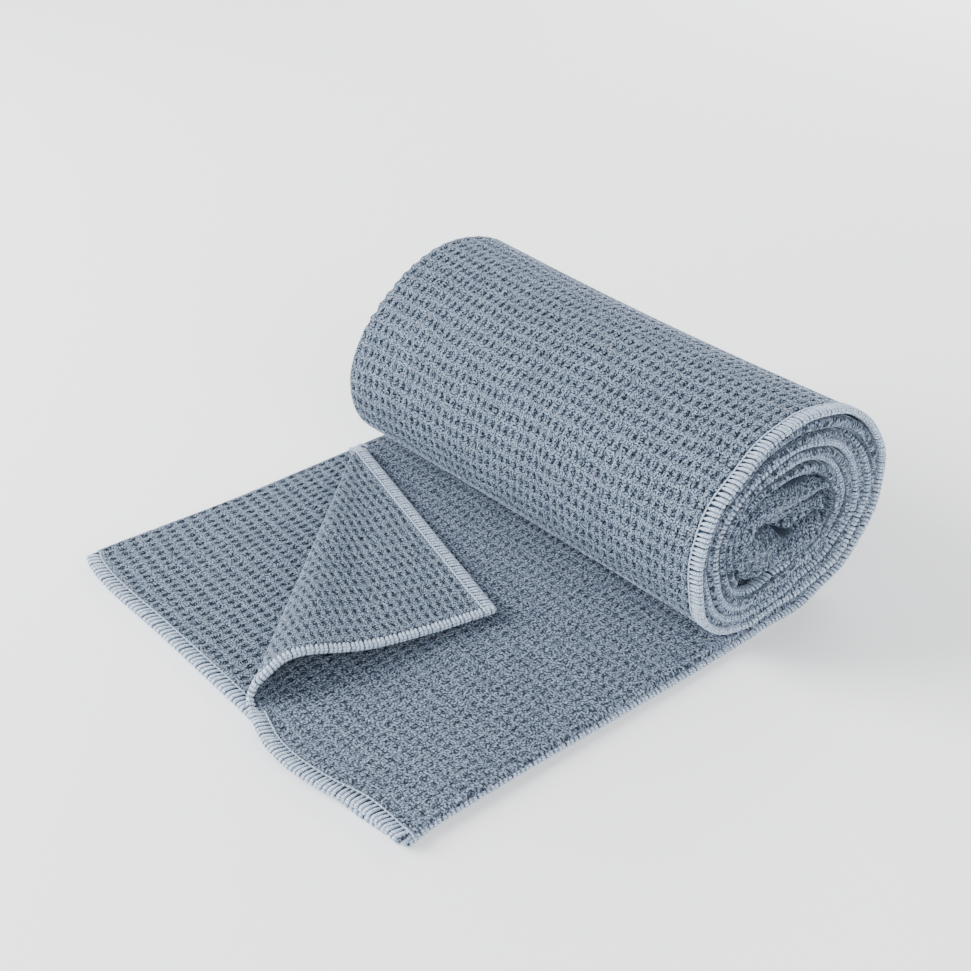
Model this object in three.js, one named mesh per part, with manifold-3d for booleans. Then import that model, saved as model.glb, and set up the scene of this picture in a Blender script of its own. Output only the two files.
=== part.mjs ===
// A yoga towel, folded in three along its length and rolled up from one short end.
//
// The towel is one rectangle of waffle cloth. Folded in three it is a band of three layers, and the band
// is wound up with its last stretch left lying flat as a tail. The top layer's free corner is turned over.
// Units are millimetres. While it is modelled, X runs along the roll from its left end, Y from the tail's
// hem to the back of the roll, and Z up from the surface that the towel lies on.
import * as THREE from 'three';
import { mergeVertices } from 'three/addons/utils/BufferGeometryUtils.js';
import Module from 'manifold-3d';

// Driving dimensions
const foldedWidth = 203;      // a 610 mm towel folded in three
const layer = 1.4;            // thickness of one layer of cloth
const air = 0.3;              // between two layers that lie on each other
const pitch = layer + air;
const bandThickness = 3 * layer + 2 * air;
const tailEnd = 172;          // y where the flat layers end, inside the roll's band

// Corner of the top layer, turned over like a cone whose tip is on the left edge in front of the roll
const coneTip = new THREE.Vector3(4.6, 132.7, layer / 2 + 2 * pitch);
const leastTurn = 2.6;        // height of the fold beside the cone's tip
const turnedFrom = { over: 99, flat: 118 };  // along the hem: wholly turned over, and wholly flat
// Where the end hem of the turned corner runs: along is the length of hem from the towel's corner
const turnedHem = [
  { along: 0, x: 137.5, y: 97.4, z: 7.4 },
  { along: 28, x: 133.2, y: 71.1, z: 8.8 },
  { along: 56, x: 127.7, y: 44.5, z: 11.2 },
  { along: 80, x: 121.3, y: 22.9, z: 16.1 },
  { along: 90, x: 119.8, y: 13.9, z: 16.6 },
  { along: 99, x: 120.0, y: 6.0, z: 14.2 },
  { along: 105, x: 119.0, y: 1.6, z: 10.4 },
  { along: 110, x: 119.2, y: -1.0, z: 6.6 },
  { along: 115, x: 122.4, y: -3.0, z: 4.7 },
  { along: 121, x: 128.3, y: -5.2, z: 4.1 },
  { along: 133, x: 139.5, y: -8.4, z: 4.1 },
];

// Ends of the three layers at the tail: y of each layer's hem across the width
const tailHem = [
  { x: 0, top: -3.0, middle: -0.5, bottom: 0.5 },
  { x: 8, top: -4.0, middle: -3.2, bottom: -2.2 },
  { x: 25, top: -5.0, middle: -5.0, bottom: -3.8 },
  { x: 60, top: -5.0, middle: -4.4, bottom: -3.4 },
  { x: 118, top: -6.0, middle: -4.5, bottom: -3.6 },
  { x: 150, top: -9.2, middle: -6.0, bottom: -4.4 },
  { x: 168, top: -7.4, middle: -4.6, bottom: -3.6 },
  { x: 185, top: -2.8, middle: -1.6, bottom: -2.4 },
  { x: 206, top: -2.4, middle: -1.2, bottom: 1.5 },
];
// Long edges of the tail: the fold on the left, the fold on the right, and the bottom layer's free edge
const tailEdges = [
  { y: -6, left: 1.0, right: 203.2, free: 206.5 },
  { y: 20, left: 1.8, right: 203.0, free: 205.0 },
  { y: 80, left: 3.8, right: 202.6, free: 204.6 },
  { y: 140, left: 2.2, right: 203.0, free: 205.0 },
  { y: 175, left: 3.2, right: 202.8, free: 204.6 },
];

// The roll: radius of the first turn by direction, counted from straight down towards the back of the
// roll, and how much nearer to the middle each next turn lies in that direction, at both ends of the roll
const rollMiddle = {
  right: { y: 184.9, z: 38.3 },
  left: { y: 179.4, z: 40.6 },
};
const turnTable = [
  { direction: 0, right: 38.3, left: 40.6, rightStep: 5.8, leftStep: 6.4, inset: 4 },
  { direction: 30, right: 41.8, left: 41.4, rightStep: 6.9, leftStep: 6.6, inset: 5 },
  { direction: 60, right: 50.4, left: 44.4, rightStep: 7.4, leftStep: 6.1, inset: 7 },
  { direction: 90, right: 57.0, left: 49.2, rightStep: 7.6, leftStep: 5.9, inset: 8 },
  { direction: 120, right: 55.4, left: 53.0, rightStep: 7.2, leftStep: 6.6, inset: 9 },
  { direction: 150, right: 53.8, left: 54.6, rightStep: 6.6, leftStep: 6.7, inset: 10 },
  { direction: 180, right: 52.4, left: 53.0, rightStep: 6.1, leftStep: 6.2, inset: 10 },
  { direction: 210, right: 52.6, left: 51.4, rightStep: 5.6, leftStep: 5.5, inset: 10 },
  { direction: 240, right: 54.9, left: 51.8, rightStep: 5.3, leftStep: 5.3, inset: 9 },
  { direction: 270, right: 51.0, left: 53.6, rightStep: 5.3, leftStep: 5.7, inset: 8 },
  { direction: 300, right: 46.6, left: 49.6, rightStep: 5.3, leftStep: 5.8, inset: 6 },
  { direction: 330, right: 38.0, left: 40.7, rightStep: 5.5, leftStep: 6.0, inset: 4 },
  { direction: 345, right: 34.0, left: 36.3, rightStep: 5.7, leftStep: 6.2, inset: 4 },
  { direction: 360, right: 32.5, left: 34.2, rightStep: 5.8, leftStep: 6.4, inset: 4 },
];
const neatTurns = 4.5;
const stationsPerTurn = 24;
const windingStart = 158;     // y where the three layers are counted as one band
const recessPerTurn = 0.7;    // each turn's ends stand a little further in
// The crumpled middle of the roll, from the top of the last neat turn inwards, at the right end
const crumple = [
  { y: 172.0, z: 62.2 },
  { y: 161.6, z: 55.6 },
  { y: 158.8, z: 45.4 },
  { y: 162.6, z: 35.6 },
  { y: 172.0, z: 30.8 },
  { y: 186.0, z: 29.8 },
  { y: 198.0, z: 33.8 },
  { y: 204.2, z: 42.6 },
  { y: 203.8, z: 52.0 },
  { y: 196.6, z: 57.6 },
  { y: 184.0, z: 58.0 },
  { y: 172.4, z: 55.6 },
  { y: 165.4, z: 49.4 },
  { y: 168.4, z: 42.6 },
  { y: 177.0, z: 41.6 },
  { y: 186.0, z: 45.4 },
  { y: 193.6, z: 47.8 },
  { y: 197.4, z: 43.0 },
  { y: 193.0, z: 37.2 },
  { y: 184.0, z: 35.8 },
  { y: 175.0, z: 36.6 },
];
const crumpleStations = 40;
const crumpleRecess = 5;      // how far the crumpled band stands back from the ends
const rollSag = 1.6;          // dip of the roll's surface between its ends

const clothColour = new THREE.MeshStandardMaterial({ color: 0x7d8fa3, roughness: 0.95, metalness: 0 });

/** Value of a table's column at a place between its rows, on a smooth curve through them. */
function read(table, key, column, at) {
  const last = table.length - 1;
  const place = THREE.MathUtils.clamp(at, table[0][key], table[last][key]);
  let i = 0;
  while (i < last - 1 && table[i + 1][key] < place) i += 1;
  const row = (n) => table[THREE.MathUtils.clamp(n, 0, last)];
  const span = row(i + 1)[key] - row(i)[key];
  const slope = (n) => {
    const before = row(n - 1);
    const after = row(n + 1);
    return (after[column] - before[column]) / (after[key] - before[key]);
  };
  const t = (place - row(i)[key]) / span;
  const from = row(i)[column];
  const to = row(i + 1)[column];
  const a = slope(i) * span - (to - from);
  const b = -slope(i + 1) * span + (to - from);
  return (1 - t) * from + t * to + t * (1 - t) * ((1 - t) * a + t * b);
}

/** Closed geometry from points and triangles, with its faces turned outwards. */
function closedGeometry(points, triangles) {
  const geometry = new THREE.BufferGeometry();
  geometry.setAttribute('position', new THREE.Float32BufferAttribute(points.flatMap((p) => p.toArray()), 3));
  let volume = 0;
  for (const [a, b, c] of triangles) {
    volume += points[a].dot(new THREE.Vector3().crossVectors(points[b], points[c]));
  }
  const turned = volume > 0 ? triangles : triangles.map(([a, b, c]) => [a, c, b]);
  geometry.setIndex(turned.flat());
  return geometry;
}

/** Closed body through equal rings of points, with a flat fan over each end. */
function loft(rings) {
  const size = rings[0].length;
  const triangles = [];
  for (let i = 0; i < rings.length - 1; i += 1) {
    for (let j = 0; j < size; j += 1) {
      const a = i * size + j;
      const b = i * size + (j + 1) % size;
      triangles.push([a, b, b + size], [a, b + size, a + size]);
    }
  }
  const end = (rings.length - 1) * size;
  for (let j = 1; j < size - 1; j += 1) {
    triangles.push([0, j + 1, j], [end, end + j, end + j + 1]);
  }
  return closedGeometry(rings.flat(), triangles);
}

/** Closed sheet of even thickness on a grid of its middle points. */
function sheet(grid, thickness) {
  const rows = grid.length;
  const columns = grid[0].length;
  const side = (sign) => grid.flatMap((line, i) => line.map((point, j) => {
    const along = grid[Math.min(i + 1, rows - 1)][j].clone().sub(grid[Math.max(i - 1, 0)][j]);
    const across = line[Math.min(j + 1, columns - 1)].clone().sub(line[Math.max(j - 1, 0)]);
    const normal = across.cross(along).normalize();
    return point.clone().addScaledVector(normal, sign * thickness / 2);
  }));
  const points = [...side(1), ...side(-1)];
  const under = rows * columns;
  const triangles = [];
  const quad = (a, b, c, d) => triangles.push([a, b, c], [a, c, d]);
  for (let i = 0; i < rows - 1; i += 1) {
    for (let j = 0; j < columns - 1; j += 1) {
      const a = i * columns + j;
      quad(a, a + 1, a + columns + 1, a + columns);
      quad(under + a, under + a + columns, under + a + columns + 1, under + a + 1);
    }
    const right = i * columns + columns - 1;
    quad(i * columns, (i + 1) * columns, under + (i + 1) * columns, under + i * columns);
    quad(right + columns, right, under + right, under + right + columns);
  }
  for (let j = 0; j < columns - 1; j += 1) {
    const back = (rows - 1) * columns + j;
    quad(j + 1, j, under + j, under + j + 1);
    quad(back, back + 1, under + back + 1, under + back);
  }
  return closedGeometry(points, triangles);
}

// The tail: three layers of one folded sheet, as one back-and-forth section that runs into the roll

const layerHeight = { bottom: layer / 2, middle: layer / 2 + pitch, top: layer / 2 + 2 * pitch };
const rayStations = [0, 20, 40, 60, 76, 88, 96, 102, 107, 112, 117, 123, 133];
const flatStations = 3;       // across the top layer, between the turned corner and the right fold
const lowerStations = 3;      // across each of the two lower layers
const foldStations = 2;       // around each long fold
// Rows from the hem to the cone's tip, as shares of the way, and then on into the roll by y
const coneRows = [1, 0.85, 0.7, 0.55, 0.4, 0.26, 0.14, 0.07];
const innerRows = [143, 152, tailEnd];
const lastRowShrink = { width: 0.98, height: 0.8 };  // so that it ends inside the roll's band
const gather = { from: 1, width: 5 };  // the cone's rays beside the left edge, behind the cone's tip

/** How far round the turned corner a place on its hem is: 0 where it lies flat, 1 once turned over. */
function turnedOver(along) {
  return 1 - THREE.MathUtils.smoothstep(along, turnedFrom.over, turnedFrom.flat);
}

/** Point of the top layer on a ray from the cone's tip to a place on the hem. */
function conePoint(along, share) {
  const hem = new THREE.Vector3(
    read(turnedHem, 'along', 'x', along),
    read(turnedHem, 'along', 'y', along),
    read(turnedHem, 'along', 'z', along),
  );
  const point = coneTip.clone().lerp(hem, share);
  const least = leastTurn * turnedOver(along);
  point.z = coneTip.z + Math.hypot(point.z - coneTip.z, least);
  return point;
}

/** One row of the folded sheet, from the bottom layer's free edge to the top layer's. */
function tailRow({ share, y }) {
  const beforeTip = y === undefined;
  const middleY = beforeTip ? coneTip.y * (1 - share) : y;
  const shrink = y === tailEnd ? lastRowShrink : { width: 1, height: 1 };
  const edge = (name) => read(tailEdges, 'y', name, middleY);
  const put = (x, name) => {
    const hemY = read(tailHem, 'x', name, x);
    return new THREE.Vector3(
      THREE.MathUtils.lerp(foldedWidth / 2, x, shrink.width),
      beforeTip ? THREE.MathUtils.lerp(coneTip.y, hemY, share) : y,
      THREE.MathUtils.lerp(bandThickness / 2, layerHeight[name], shrink.height),
    );
  };
  const across = (from, to, name, steps) => Array.from(
    { length: steps + 1 },
    (_, i) => put(THREE.MathUtils.lerp(from, to, i / steps), name),
  );
  const around = (x, lower, upper, side) => Array.from({ length: foldStations }, (_, i) => {
    const angle = Math.PI * (i + 1) / (foldStations + 1);
    const point = put(x, lower).lerp(put(x, upper), (1 - Math.cos(angle)) / 2);
    point.x += side * pitch / 2 * Math.sin(angle);
    return point;
  });
  const leftX = edge('left') + pitch / 2;
  const rightX = edge('right') - pitch / 2;
  const lastRay = rayStations.at(-1);
  const ray = (along) => (beforeTip
    ? conePoint(along, share)
    : put(edge('left') + gather.from + gather.width * along / lastRay, 'top'));
  return [
    ...across(edge('free'), leftX, 'bottom', lowerStations),
    ...around(leftX, 'bottom', 'middle', -1),
    ...across(leftX, rightX, 'middle', lowerStations),
    ...around(rightX, 'middle', 'top', 1),
    ...across(rightX, ray(lastRay).x, 'top', flatStations).slice(0, -1),
    ...rayStations.toReversed().map(ray),
  ];
}

const tailGrid = [
  ...coneRows.map((share) => tailRow({ share })),
  ...innerRows.map((y) => tailRow({ y })),
];
const tail = sheet(tailGrid, layer);

// The roll: the band of three layers wound up, as a strip whose cross-section spans the folded width

/** Middle line of the band at one end of the roll: its points and the directions out of the roll. */
function windingLine(end) {
  const middle = rollMiddle[end];
  const line = [{ y: windingStart, z: bandThickness / 2, turn: 0, direction: 0 }];
  for (let i = 0; i <= neatTurns * stationsPerTurn; i += 1) {
    const turn = Math.floor(i / stationsPerTurn);
    const direction = 360 * (i / stationsPerTurn - turn);
    const radius = read(turnTable, 'direction', end, direction)
      - turn * read(turnTable, 'direction', `${end}Step`, direction) - bandThickness / 2;
    const angle = THREE.MathUtils.degToRad(direction - 90);
    line.push({
      y: middle.y + radius * Math.cos(angle),
      z: middle.z + radius * Math.sin(angle),
      turn: i / stationsPerTurn,
      direction,
    });
  }
  const shift = { y: middle.y - rollMiddle.right.y, z: middle.z - rollMiddle.right.z };
  const route = new THREE.SplineCurve([
    new THREE.Vector2(line.at(-1).y, line.at(-1).z),
    ...crumple.map((p) => new THREE.Vector2(p.y + shift.y, p.z + shift.z)),
  ]);
  const last = line.at(-1);
  for (const point of route.getSpacedPoints(crumpleStations).slice(1)) {
    line.push({ y: point.x, z: point.y, turn: neatTurns, direction: last.direction, crumpled: true });
  }
  line.forEach((point, i) => {
    const before = line[Math.max(i - 1, 0)];
    const after = line[Math.min(i + 1, line.length - 1)];
    const length = Math.hypot(after.y - before.y, after.z - before.z);
    point.outY = (after.z - before.z) / length;
    point.outZ = -(after.y - before.y) / length;
  });
  line[0].outY = 0;
  line[0].outZ = -1;
  return line;
}

const rightLine = windingLine('right');
const leftLine = windingLine('left');
const edgeRound = 1.6;        // how far in from its edge the band reaches full thickness
const mouth = { fromX: 1.6, toX: 205.6, thickness: bandThickness + 0.4 };  // takes in the flat layers

/** Ring of the band around one station: over its outer face from left to right, and back inside. */
function bandRing(i) {
  const isMouth = i === 0;
  const rightEnd = rightLine[i];
  const leftEnd = leftLine[i];
  const recess = rightEnd.crumpled ? crumpleRecess : recessPerTurn * rightEnd.turn;
  const inset = read(turnTable, 'direction', 'inset', rightEnd.direction);
  const fromX = isMouth ? mouth.fromX : inset + recess;
  const toX = isMouth ? mouth.toX : foldedWidth - recess;
  const inward = isMouth ? mouth.thickness - bandThickness / 2 : bandThickness / 2;
  const place = (x, out) => {
    const share = (x - fromX) / (toX - fromX);
    const mix = (name) => THREE.MathUtils.lerp(leftEnd[name], rightEnd[name], share);
    const height = THREE.MathUtils.clamp((mix('z') - bandThickness) / rollMiddle.right.z, 0, 1);
    const dip = rollSag * Math.sin(Math.PI * share) * height;
    const reach = (out > 0 ? out * bandThickness / 2 : out * inward) - dip;
    return new THREE.Vector3(x, mix('y') + reach * mix('outY'), Math.max(0, mix('z') + reach * mix('outZ')));
  };
  const third = (toX - fromX) / 3;
  const stops = [fromX + edgeRound, fromX + third, toX - third, toX - edgeRound];
  return [
    place(fromX, 0.5), ...stops.map((x) => place(x, 1)), place(toX, 0.5),
    place(toX, -0.5), place(stops.at(-1), -1), place(stops[0], -1), place(fromX, -0.5),
  ];
}

const winding = loft(rightLine.map((_, i) => bandRing(i)));

// Joining the tail and the winding into one piece of cloth

const wasm = await Module();
wasm.setup();

/** Solid of a closed geometry. */
function solid(geometry) {
  const merged = mergeVertices(geometry, 1e-4);
  return new wasm.Manifold(new wasm.Mesh({
    numProp: 3,
    vertProperties: new Float32Array(merged.attributes.position.array),
    triVerts: new Uint32Array(merged.index.array),
  }));
}

const joined = solid(winding).add(solid(tail)).getMesh();
const towelGeometry = new THREE.BufferGeometry();
towelGeometry.setAttribute('position', new THREE.BufferAttribute(joined.vertProperties, joined.numProp));
towelGeometry.setIndex(new THREE.BufferAttribute(joined.triVerts, 1));
towelGeometry.computeBoundingBox();

const towel = new THREE.Mesh(towelGeometry, clothColour);
towel.name = 'towel';
const box = towelGeometry.boundingBox;
towel.position.set(-(box.min.x + box.max.x) / 2, -(box.min.y + box.max.y) / 2, -box.min.z);

const group = new THREE.Group();
group.add(towel);
export default group;
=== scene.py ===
"""A waffle cloth yoga towel, folded in three and rolled up, with a flat tail and a turned-over corner.

Sizes are in millimetres. While a piece is shaped, X runs along the roll from its left end, Y from the
tail's hem to the back of the roll, and Z up from the floor. The flat towel has its own two directions:
"across" runs over the three layers, from the bottom layer's free edge to the top layer's, and "down" runs
from the tail's hem into the roll.
"""

import logging
import math
from dataclasses import dataclass, field
from enum import Enum
from typing import Any, Sequence

import bpy
import numpy as np
from mathutils import Matrix, Vector


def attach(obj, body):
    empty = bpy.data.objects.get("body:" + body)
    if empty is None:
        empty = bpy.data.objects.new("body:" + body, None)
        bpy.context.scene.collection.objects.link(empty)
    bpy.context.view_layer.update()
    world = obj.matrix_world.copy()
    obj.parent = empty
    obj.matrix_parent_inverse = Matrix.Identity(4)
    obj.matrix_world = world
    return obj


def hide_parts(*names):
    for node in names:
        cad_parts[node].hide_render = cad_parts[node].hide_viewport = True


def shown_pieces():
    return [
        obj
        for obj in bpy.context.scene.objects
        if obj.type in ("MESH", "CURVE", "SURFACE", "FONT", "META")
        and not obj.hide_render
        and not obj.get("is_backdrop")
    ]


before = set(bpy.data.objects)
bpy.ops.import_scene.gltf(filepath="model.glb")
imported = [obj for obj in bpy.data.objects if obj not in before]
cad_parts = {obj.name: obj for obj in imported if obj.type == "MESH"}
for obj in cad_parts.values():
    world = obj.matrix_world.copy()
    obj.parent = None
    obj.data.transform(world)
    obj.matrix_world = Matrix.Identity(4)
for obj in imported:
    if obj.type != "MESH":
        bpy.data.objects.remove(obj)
log = logging.getLogger("rolled_towel")
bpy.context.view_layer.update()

MM = 0.001                        # metres in a millimetre
PLACE = (-103.40, -116.57, 0.0)   # from the shaping directions above to the part's own place


class End(Enum):
    """The two ends of the roll, by the names of the tables' columns."""
    LEFT = "left"
    RIGHT = "right"


class Layer(Enum):
    """The three layers of the folded towel as they lie in the tail, by the names of the tables' columns."""
    BOTTOM = "bottom"
    MIDDLE = "middle"
    TOP = "top"


class Table:
    """Rows of numbers with named columns, read on a smooth curve through the rows."""

    def __init__(self, columns: str, rows: Sequence[Sequence[float]]) -> None:
        """Keeps the rows by column.

        Args:
            columns: the columns' names, with the one that the rows are sorted by first.
            rows: the numbers, a row for each place.
        """
        names = columns.split()
        self.columns = {name: np.array(values, float) for name, values in zip(names, zip(*rows))}
        self.key = self.columns[names[0]]

    def read(self, column: str, at: Any) -> np.ndarray:
        """Value of a column at places between the rows.

        Args:
            column: the column's name.
            at: the places, in the first column's unit.

        Returns:
            The values, in the shape of at.
        """
        key, values = self.key, self.columns[column]
        last = len(key) - 1
        rows = np.arange(last + 1)
        after, before = np.minimum(rows + 1, last), np.maximum(rows - 1, 0)
        slopes = (values[after] - values[before]) / (key[after] - key[before])
        place = np.clip(np.asarray(at, float), key[0], key[-1])
        i = np.clip(np.searchsorted(key, place, side="left") - 1, 0, last - 1)
        span, rise = key[i + 1] - key[i], values[i + 1] - values[i]
        t = (place - key[i]) / span
        start, end = slopes[i] * span - rise, rise - slopes[i + 1] * span
        return (1 - t) * values[i] + t * values[i + 1] + t * (1 - t) * ((1 - t) * start + t * end)


def smoothstep(value: Any, low: float, high: float) -> np.ndarray:
    """Share of the way from low to high, eased at both ends.

    Args:
        value: the numbers to place.
        low: where the share is 0.
        high: where the share is 1.

    Returns:
        The shares, from 0 to 1.
    """
    t = np.clip((np.asarray(value, float) - low) / (high - low), 0, 1)
    return t * t * (3 - 2 * t)


def lerp(a: Any, b: Any, share: Any) -> Any:
    """Value at a share of the way from a to b."""
    return a + (b - a) * share


def unit(vectors: np.ndarray) -> np.ndarray:
    """The vectors in the last axis, each of length 1."""
    return vectors / np.maximum(np.linalg.norm(vectors, axis=-1, keepdims=True), 1e-9)


def ripples(waves: Sequence[Sequence[float]], a: Any, b: Any) -> Any:
    """Sum of gentle waves that run over two directions.

    Args:
        waves: for each wave its amount, how far over a and over b it runs in a radian, and its start.
        a: the places in the first direction.
        b: the places in the second direction.

    Returns:
        The sum at each place.
    """
    return sum(amount * np.sin(a / over_a + b / over_b + start) for amount, over_a, over_b, start in waves)


def scatter(column: np.ndarray, row: np.ndarray) -> np.ndarray:
    """A share from 0 to 1 for each cell of a pattern, without order but always the same.

    Args:
        column: the cells' columns.
        row: the cells' rows.

    Returns:
        The shares.
    """
    wild = np.sin(column * 12.9898 + row * 78.233) * 43758.5453
    return wild - np.floor(wild)


def linear(colour: str) -> tuple[float, float, float, float]:
    """Linear colour of an sRGB hex value.

    Args:
        colour: six hex digits.

    Returns:
        Red, green, blue and full alpha.
    """
    parts = [int(colour[i:i + 2], 16) / 255 for i in (0, 2, 4)]
    return (*(c / 12.92 if c <= 0.04045 else ((c + 0.055) / 1.055) ** 2.4 for c in parts), 1.0)


# Cloth

@dataclass(frozen=True)
class WaffleCloth:
    """The towel's cloth: its thickness, its waffle, and how unevenly both lie."""
    layer: float = 1.4            # thickness of one layer under the waffle's ridges
    spacing: float = 1.7          # from the middle of one layer to the middle of the next
    cell_across: float = 3.75     # one waffle cell across the cloth
    cell_down: float = 5.75       # one waffle cell down the cloth
    ridge: float = 0.3            # how far the ridges stand up
    pit: float = 1.25             # depth of the pits from the ridges' tops
    plain_relief: float = 0.22    # what shows of the waffle on the plain face
    narrow: tuple[float, float] = (1.5, 0.9)     # how narrow the pits are, across and down
    least_pit: float = 0.78       # the shallowest pit's share of the depth
    pit_varies: float = 0.4       # how much more of it the deepest one has
    hem_flat: tuple[float, float] = (3.5, 6.0)   # the stitched edge is flat up to here, and full after
    hem_thickness: float = 0.75   # share of the thickness that is left under the stitches
    # How the rows wander, as ripples over the ways across and down
    wander_across: tuple = ((0.45, math.inf, 7.9, 0.6), (0.22, 17, 3.3, 2.1), (0.20, 5.9, -11, 4.0))
    wander_down: tuple = ((0.75, 13.5, math.inf, 1.3), (0.28, 4.7, 9, 0.4), (0.25, -23, 6.1, 5.2))

    def woven(self, flat: np.ndarray) -> np.ndarray:
        """Where a place in the cut cloth lies in the waffle's own, slightly wandering rows.

        Args:
            flat: places in the cut cloth, across and down.

        Returns:
            The same places counted in the waffle's rows, in millimetres.
        """
        across, down = flat[..., 0], flat[..., 1]
        return np.stack([across + ripples(self.wander_across, across, down),
                         down + ripples(self.wander_down, across, down)], -1)

    def pits(self, flat: np.ndarray) -> np.ndarray:
        """Depth of the waffle, 0 on its ridges and 1 in its pits, a little different in every cell.

        Args:
            flat: places in the cut cloth, across and down.

        Returns:
            The depth at each place.
        """
        woven = self.woven(flat)
        a, b = woven[..., 0] / self.cell_across, woven[..., 1] / self.cell_down
        lobe = ((0.5 - 0.5 * np.cos(math.tau * a)) ** self.narrow[0]
                * (0.5 - 0.5 * np.cos(math.tau * b)) ** self.narrow[1])
        return lobe * (self.least_pit + self.pit_varies * scatter(np.floor(a), np.floor(b)))


@dataclass
class Drape:
    """A stretch of the cloth as it lies: a grid of points in the middle of its thickness."""
    points: np.ndarray            # rows down the cloth, columns across it, three coordinates
    flat: np.ndarray              # each point's place in the cut cloth, across and down
    edge: np.ndarray              # each point's distance from the nearest stitched edge, along the cloth
    shaded: Any = 0.0             # share of painted shade on each point's cloth, where it lies deep in folds
    bare: Any = 0.0               # share of each point's cloth that lies open where the edge threads part, without their painted shade
    depth: float = 1.0            # share of the waffle's full depth that is left where the cloth lies pressed

    def normals(self) -> np.ndarray:
        """Directions out of the waffle face.

        Returns:
            One direction for each point, of length 1.
        """
        down = np.gradient(self.points, axis=0)
        across = np.gradient(self.points, axis=1)
        return unit(np.cross(across, down))

    def border(self, side: str) -> "Border":
        """One border of the stretch, as stitches need it.

        Args:
            side: hem for the first row, first or last for a column.

        Returns:
            The border's points, the directions into the cloth and out of its waffle face.
        """
        normals = self.normals()
        if side == "hem":
            line, inner, out = self.points[0], self.points[3], normals[1]
        elif side == "first":
            line, inner, out = self.points[:, 0], self.points[:, 2], normals[:, 1]
        else:
            line, inner, out = self.points[:, -1], self.points[:, -3], normals[:, -2]
        return Border(line, unit(inner - line), out)


@dataclass
class Border:
    """A stitched edge: a line of points, with directions into the cloth and out of its waffle face."""
    points: np.ndarray
    inward: np.ndarray
    out: np.ndarray

    def part(self, start: int, stop: int | None) -> "Border":
        """The stretch between two of the line's points."""
        return Border(self.points[start:stop], self.inward[start:stop], self.out[start:stop])

    def length(self) -> float:
        """Length of the line."""
        return float(np.linalg.norm(np.diff(self.points, axis=0), axis=1).sum())

    def at(self, places: np.ndarray) -> tuple[np.ndarray, np.ndarray, np.ndarray, np.ndarray]:
        """Frames at places along the line.

        Args:
            places: distances from the line's start.

        Returns:
            The points, and the directions inward, out of the waffle face, and along the line.
        """
        steps = np.linalg.norm(np.diff(self.points, axis=0), axis=1)
        run = np.concatenate([[0], np.cumsum(steps)])

        def read(values: np.ndarray) -> np.ndarray:
            """The values at the places, on straight lines between the line's points."""
            return np.stack([np.interp(places, run, values[:, k]) for k in range(3)], -1)

        along = unit(read(np.gradient(self.points, axis=0)))
        inward = read(self.inward)
        inward = unit(inward - (inward * along).sum(-1, keepdims=True) * along)
        out = read(self.out)
        out = out - (out * along).sum(-1, keepdims=True) * along
        out = unit(out - (out * inward).sum(-1, keepdims=True) * inward)
        return read(self.points), inward, out, along


# Finishes

class NodeTree:
    """A material's node tree, with one way to add nodes to it."""

    def __init__(self, name: str) -> None:
        """Starts an empty material.

        Args:
            name: the material's name.
        """
        self.material = bpy.data.materials.new(name)
        self.material.use_nodes = True
        self.tree = self.material.node_tree
        self.tree.nodes.clear()

    def add(self, kind: str, settings: dict[str, Any] | None = None, **links: Any) -> Any:
        """Adds a node with its settings and links.

        Args:
            kind: the node's type, without the ShaderNode in front.
            settings: the node's own properties.
            links: for each input, by name or as i0, i1 and so on, another node's output or a plain value.

        Returns:
            The new node.
        """
        node = self.tree.nodes.new("ShaderNode" + kind)
        for name, value in (settings or {}).items():
            setattr(node, name, value)
        for name, value in links.items():
            key = int(name[1:]) if name[0] == "i" and name[1:].isdigit() else name.replace("_", " ")
            if isinstance(value, bpy.types.NodeSocket):
                self.tree.links.new(value, node.inputs[key])
            else:
                node.inputs[key].default_value = value
        return node


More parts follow.
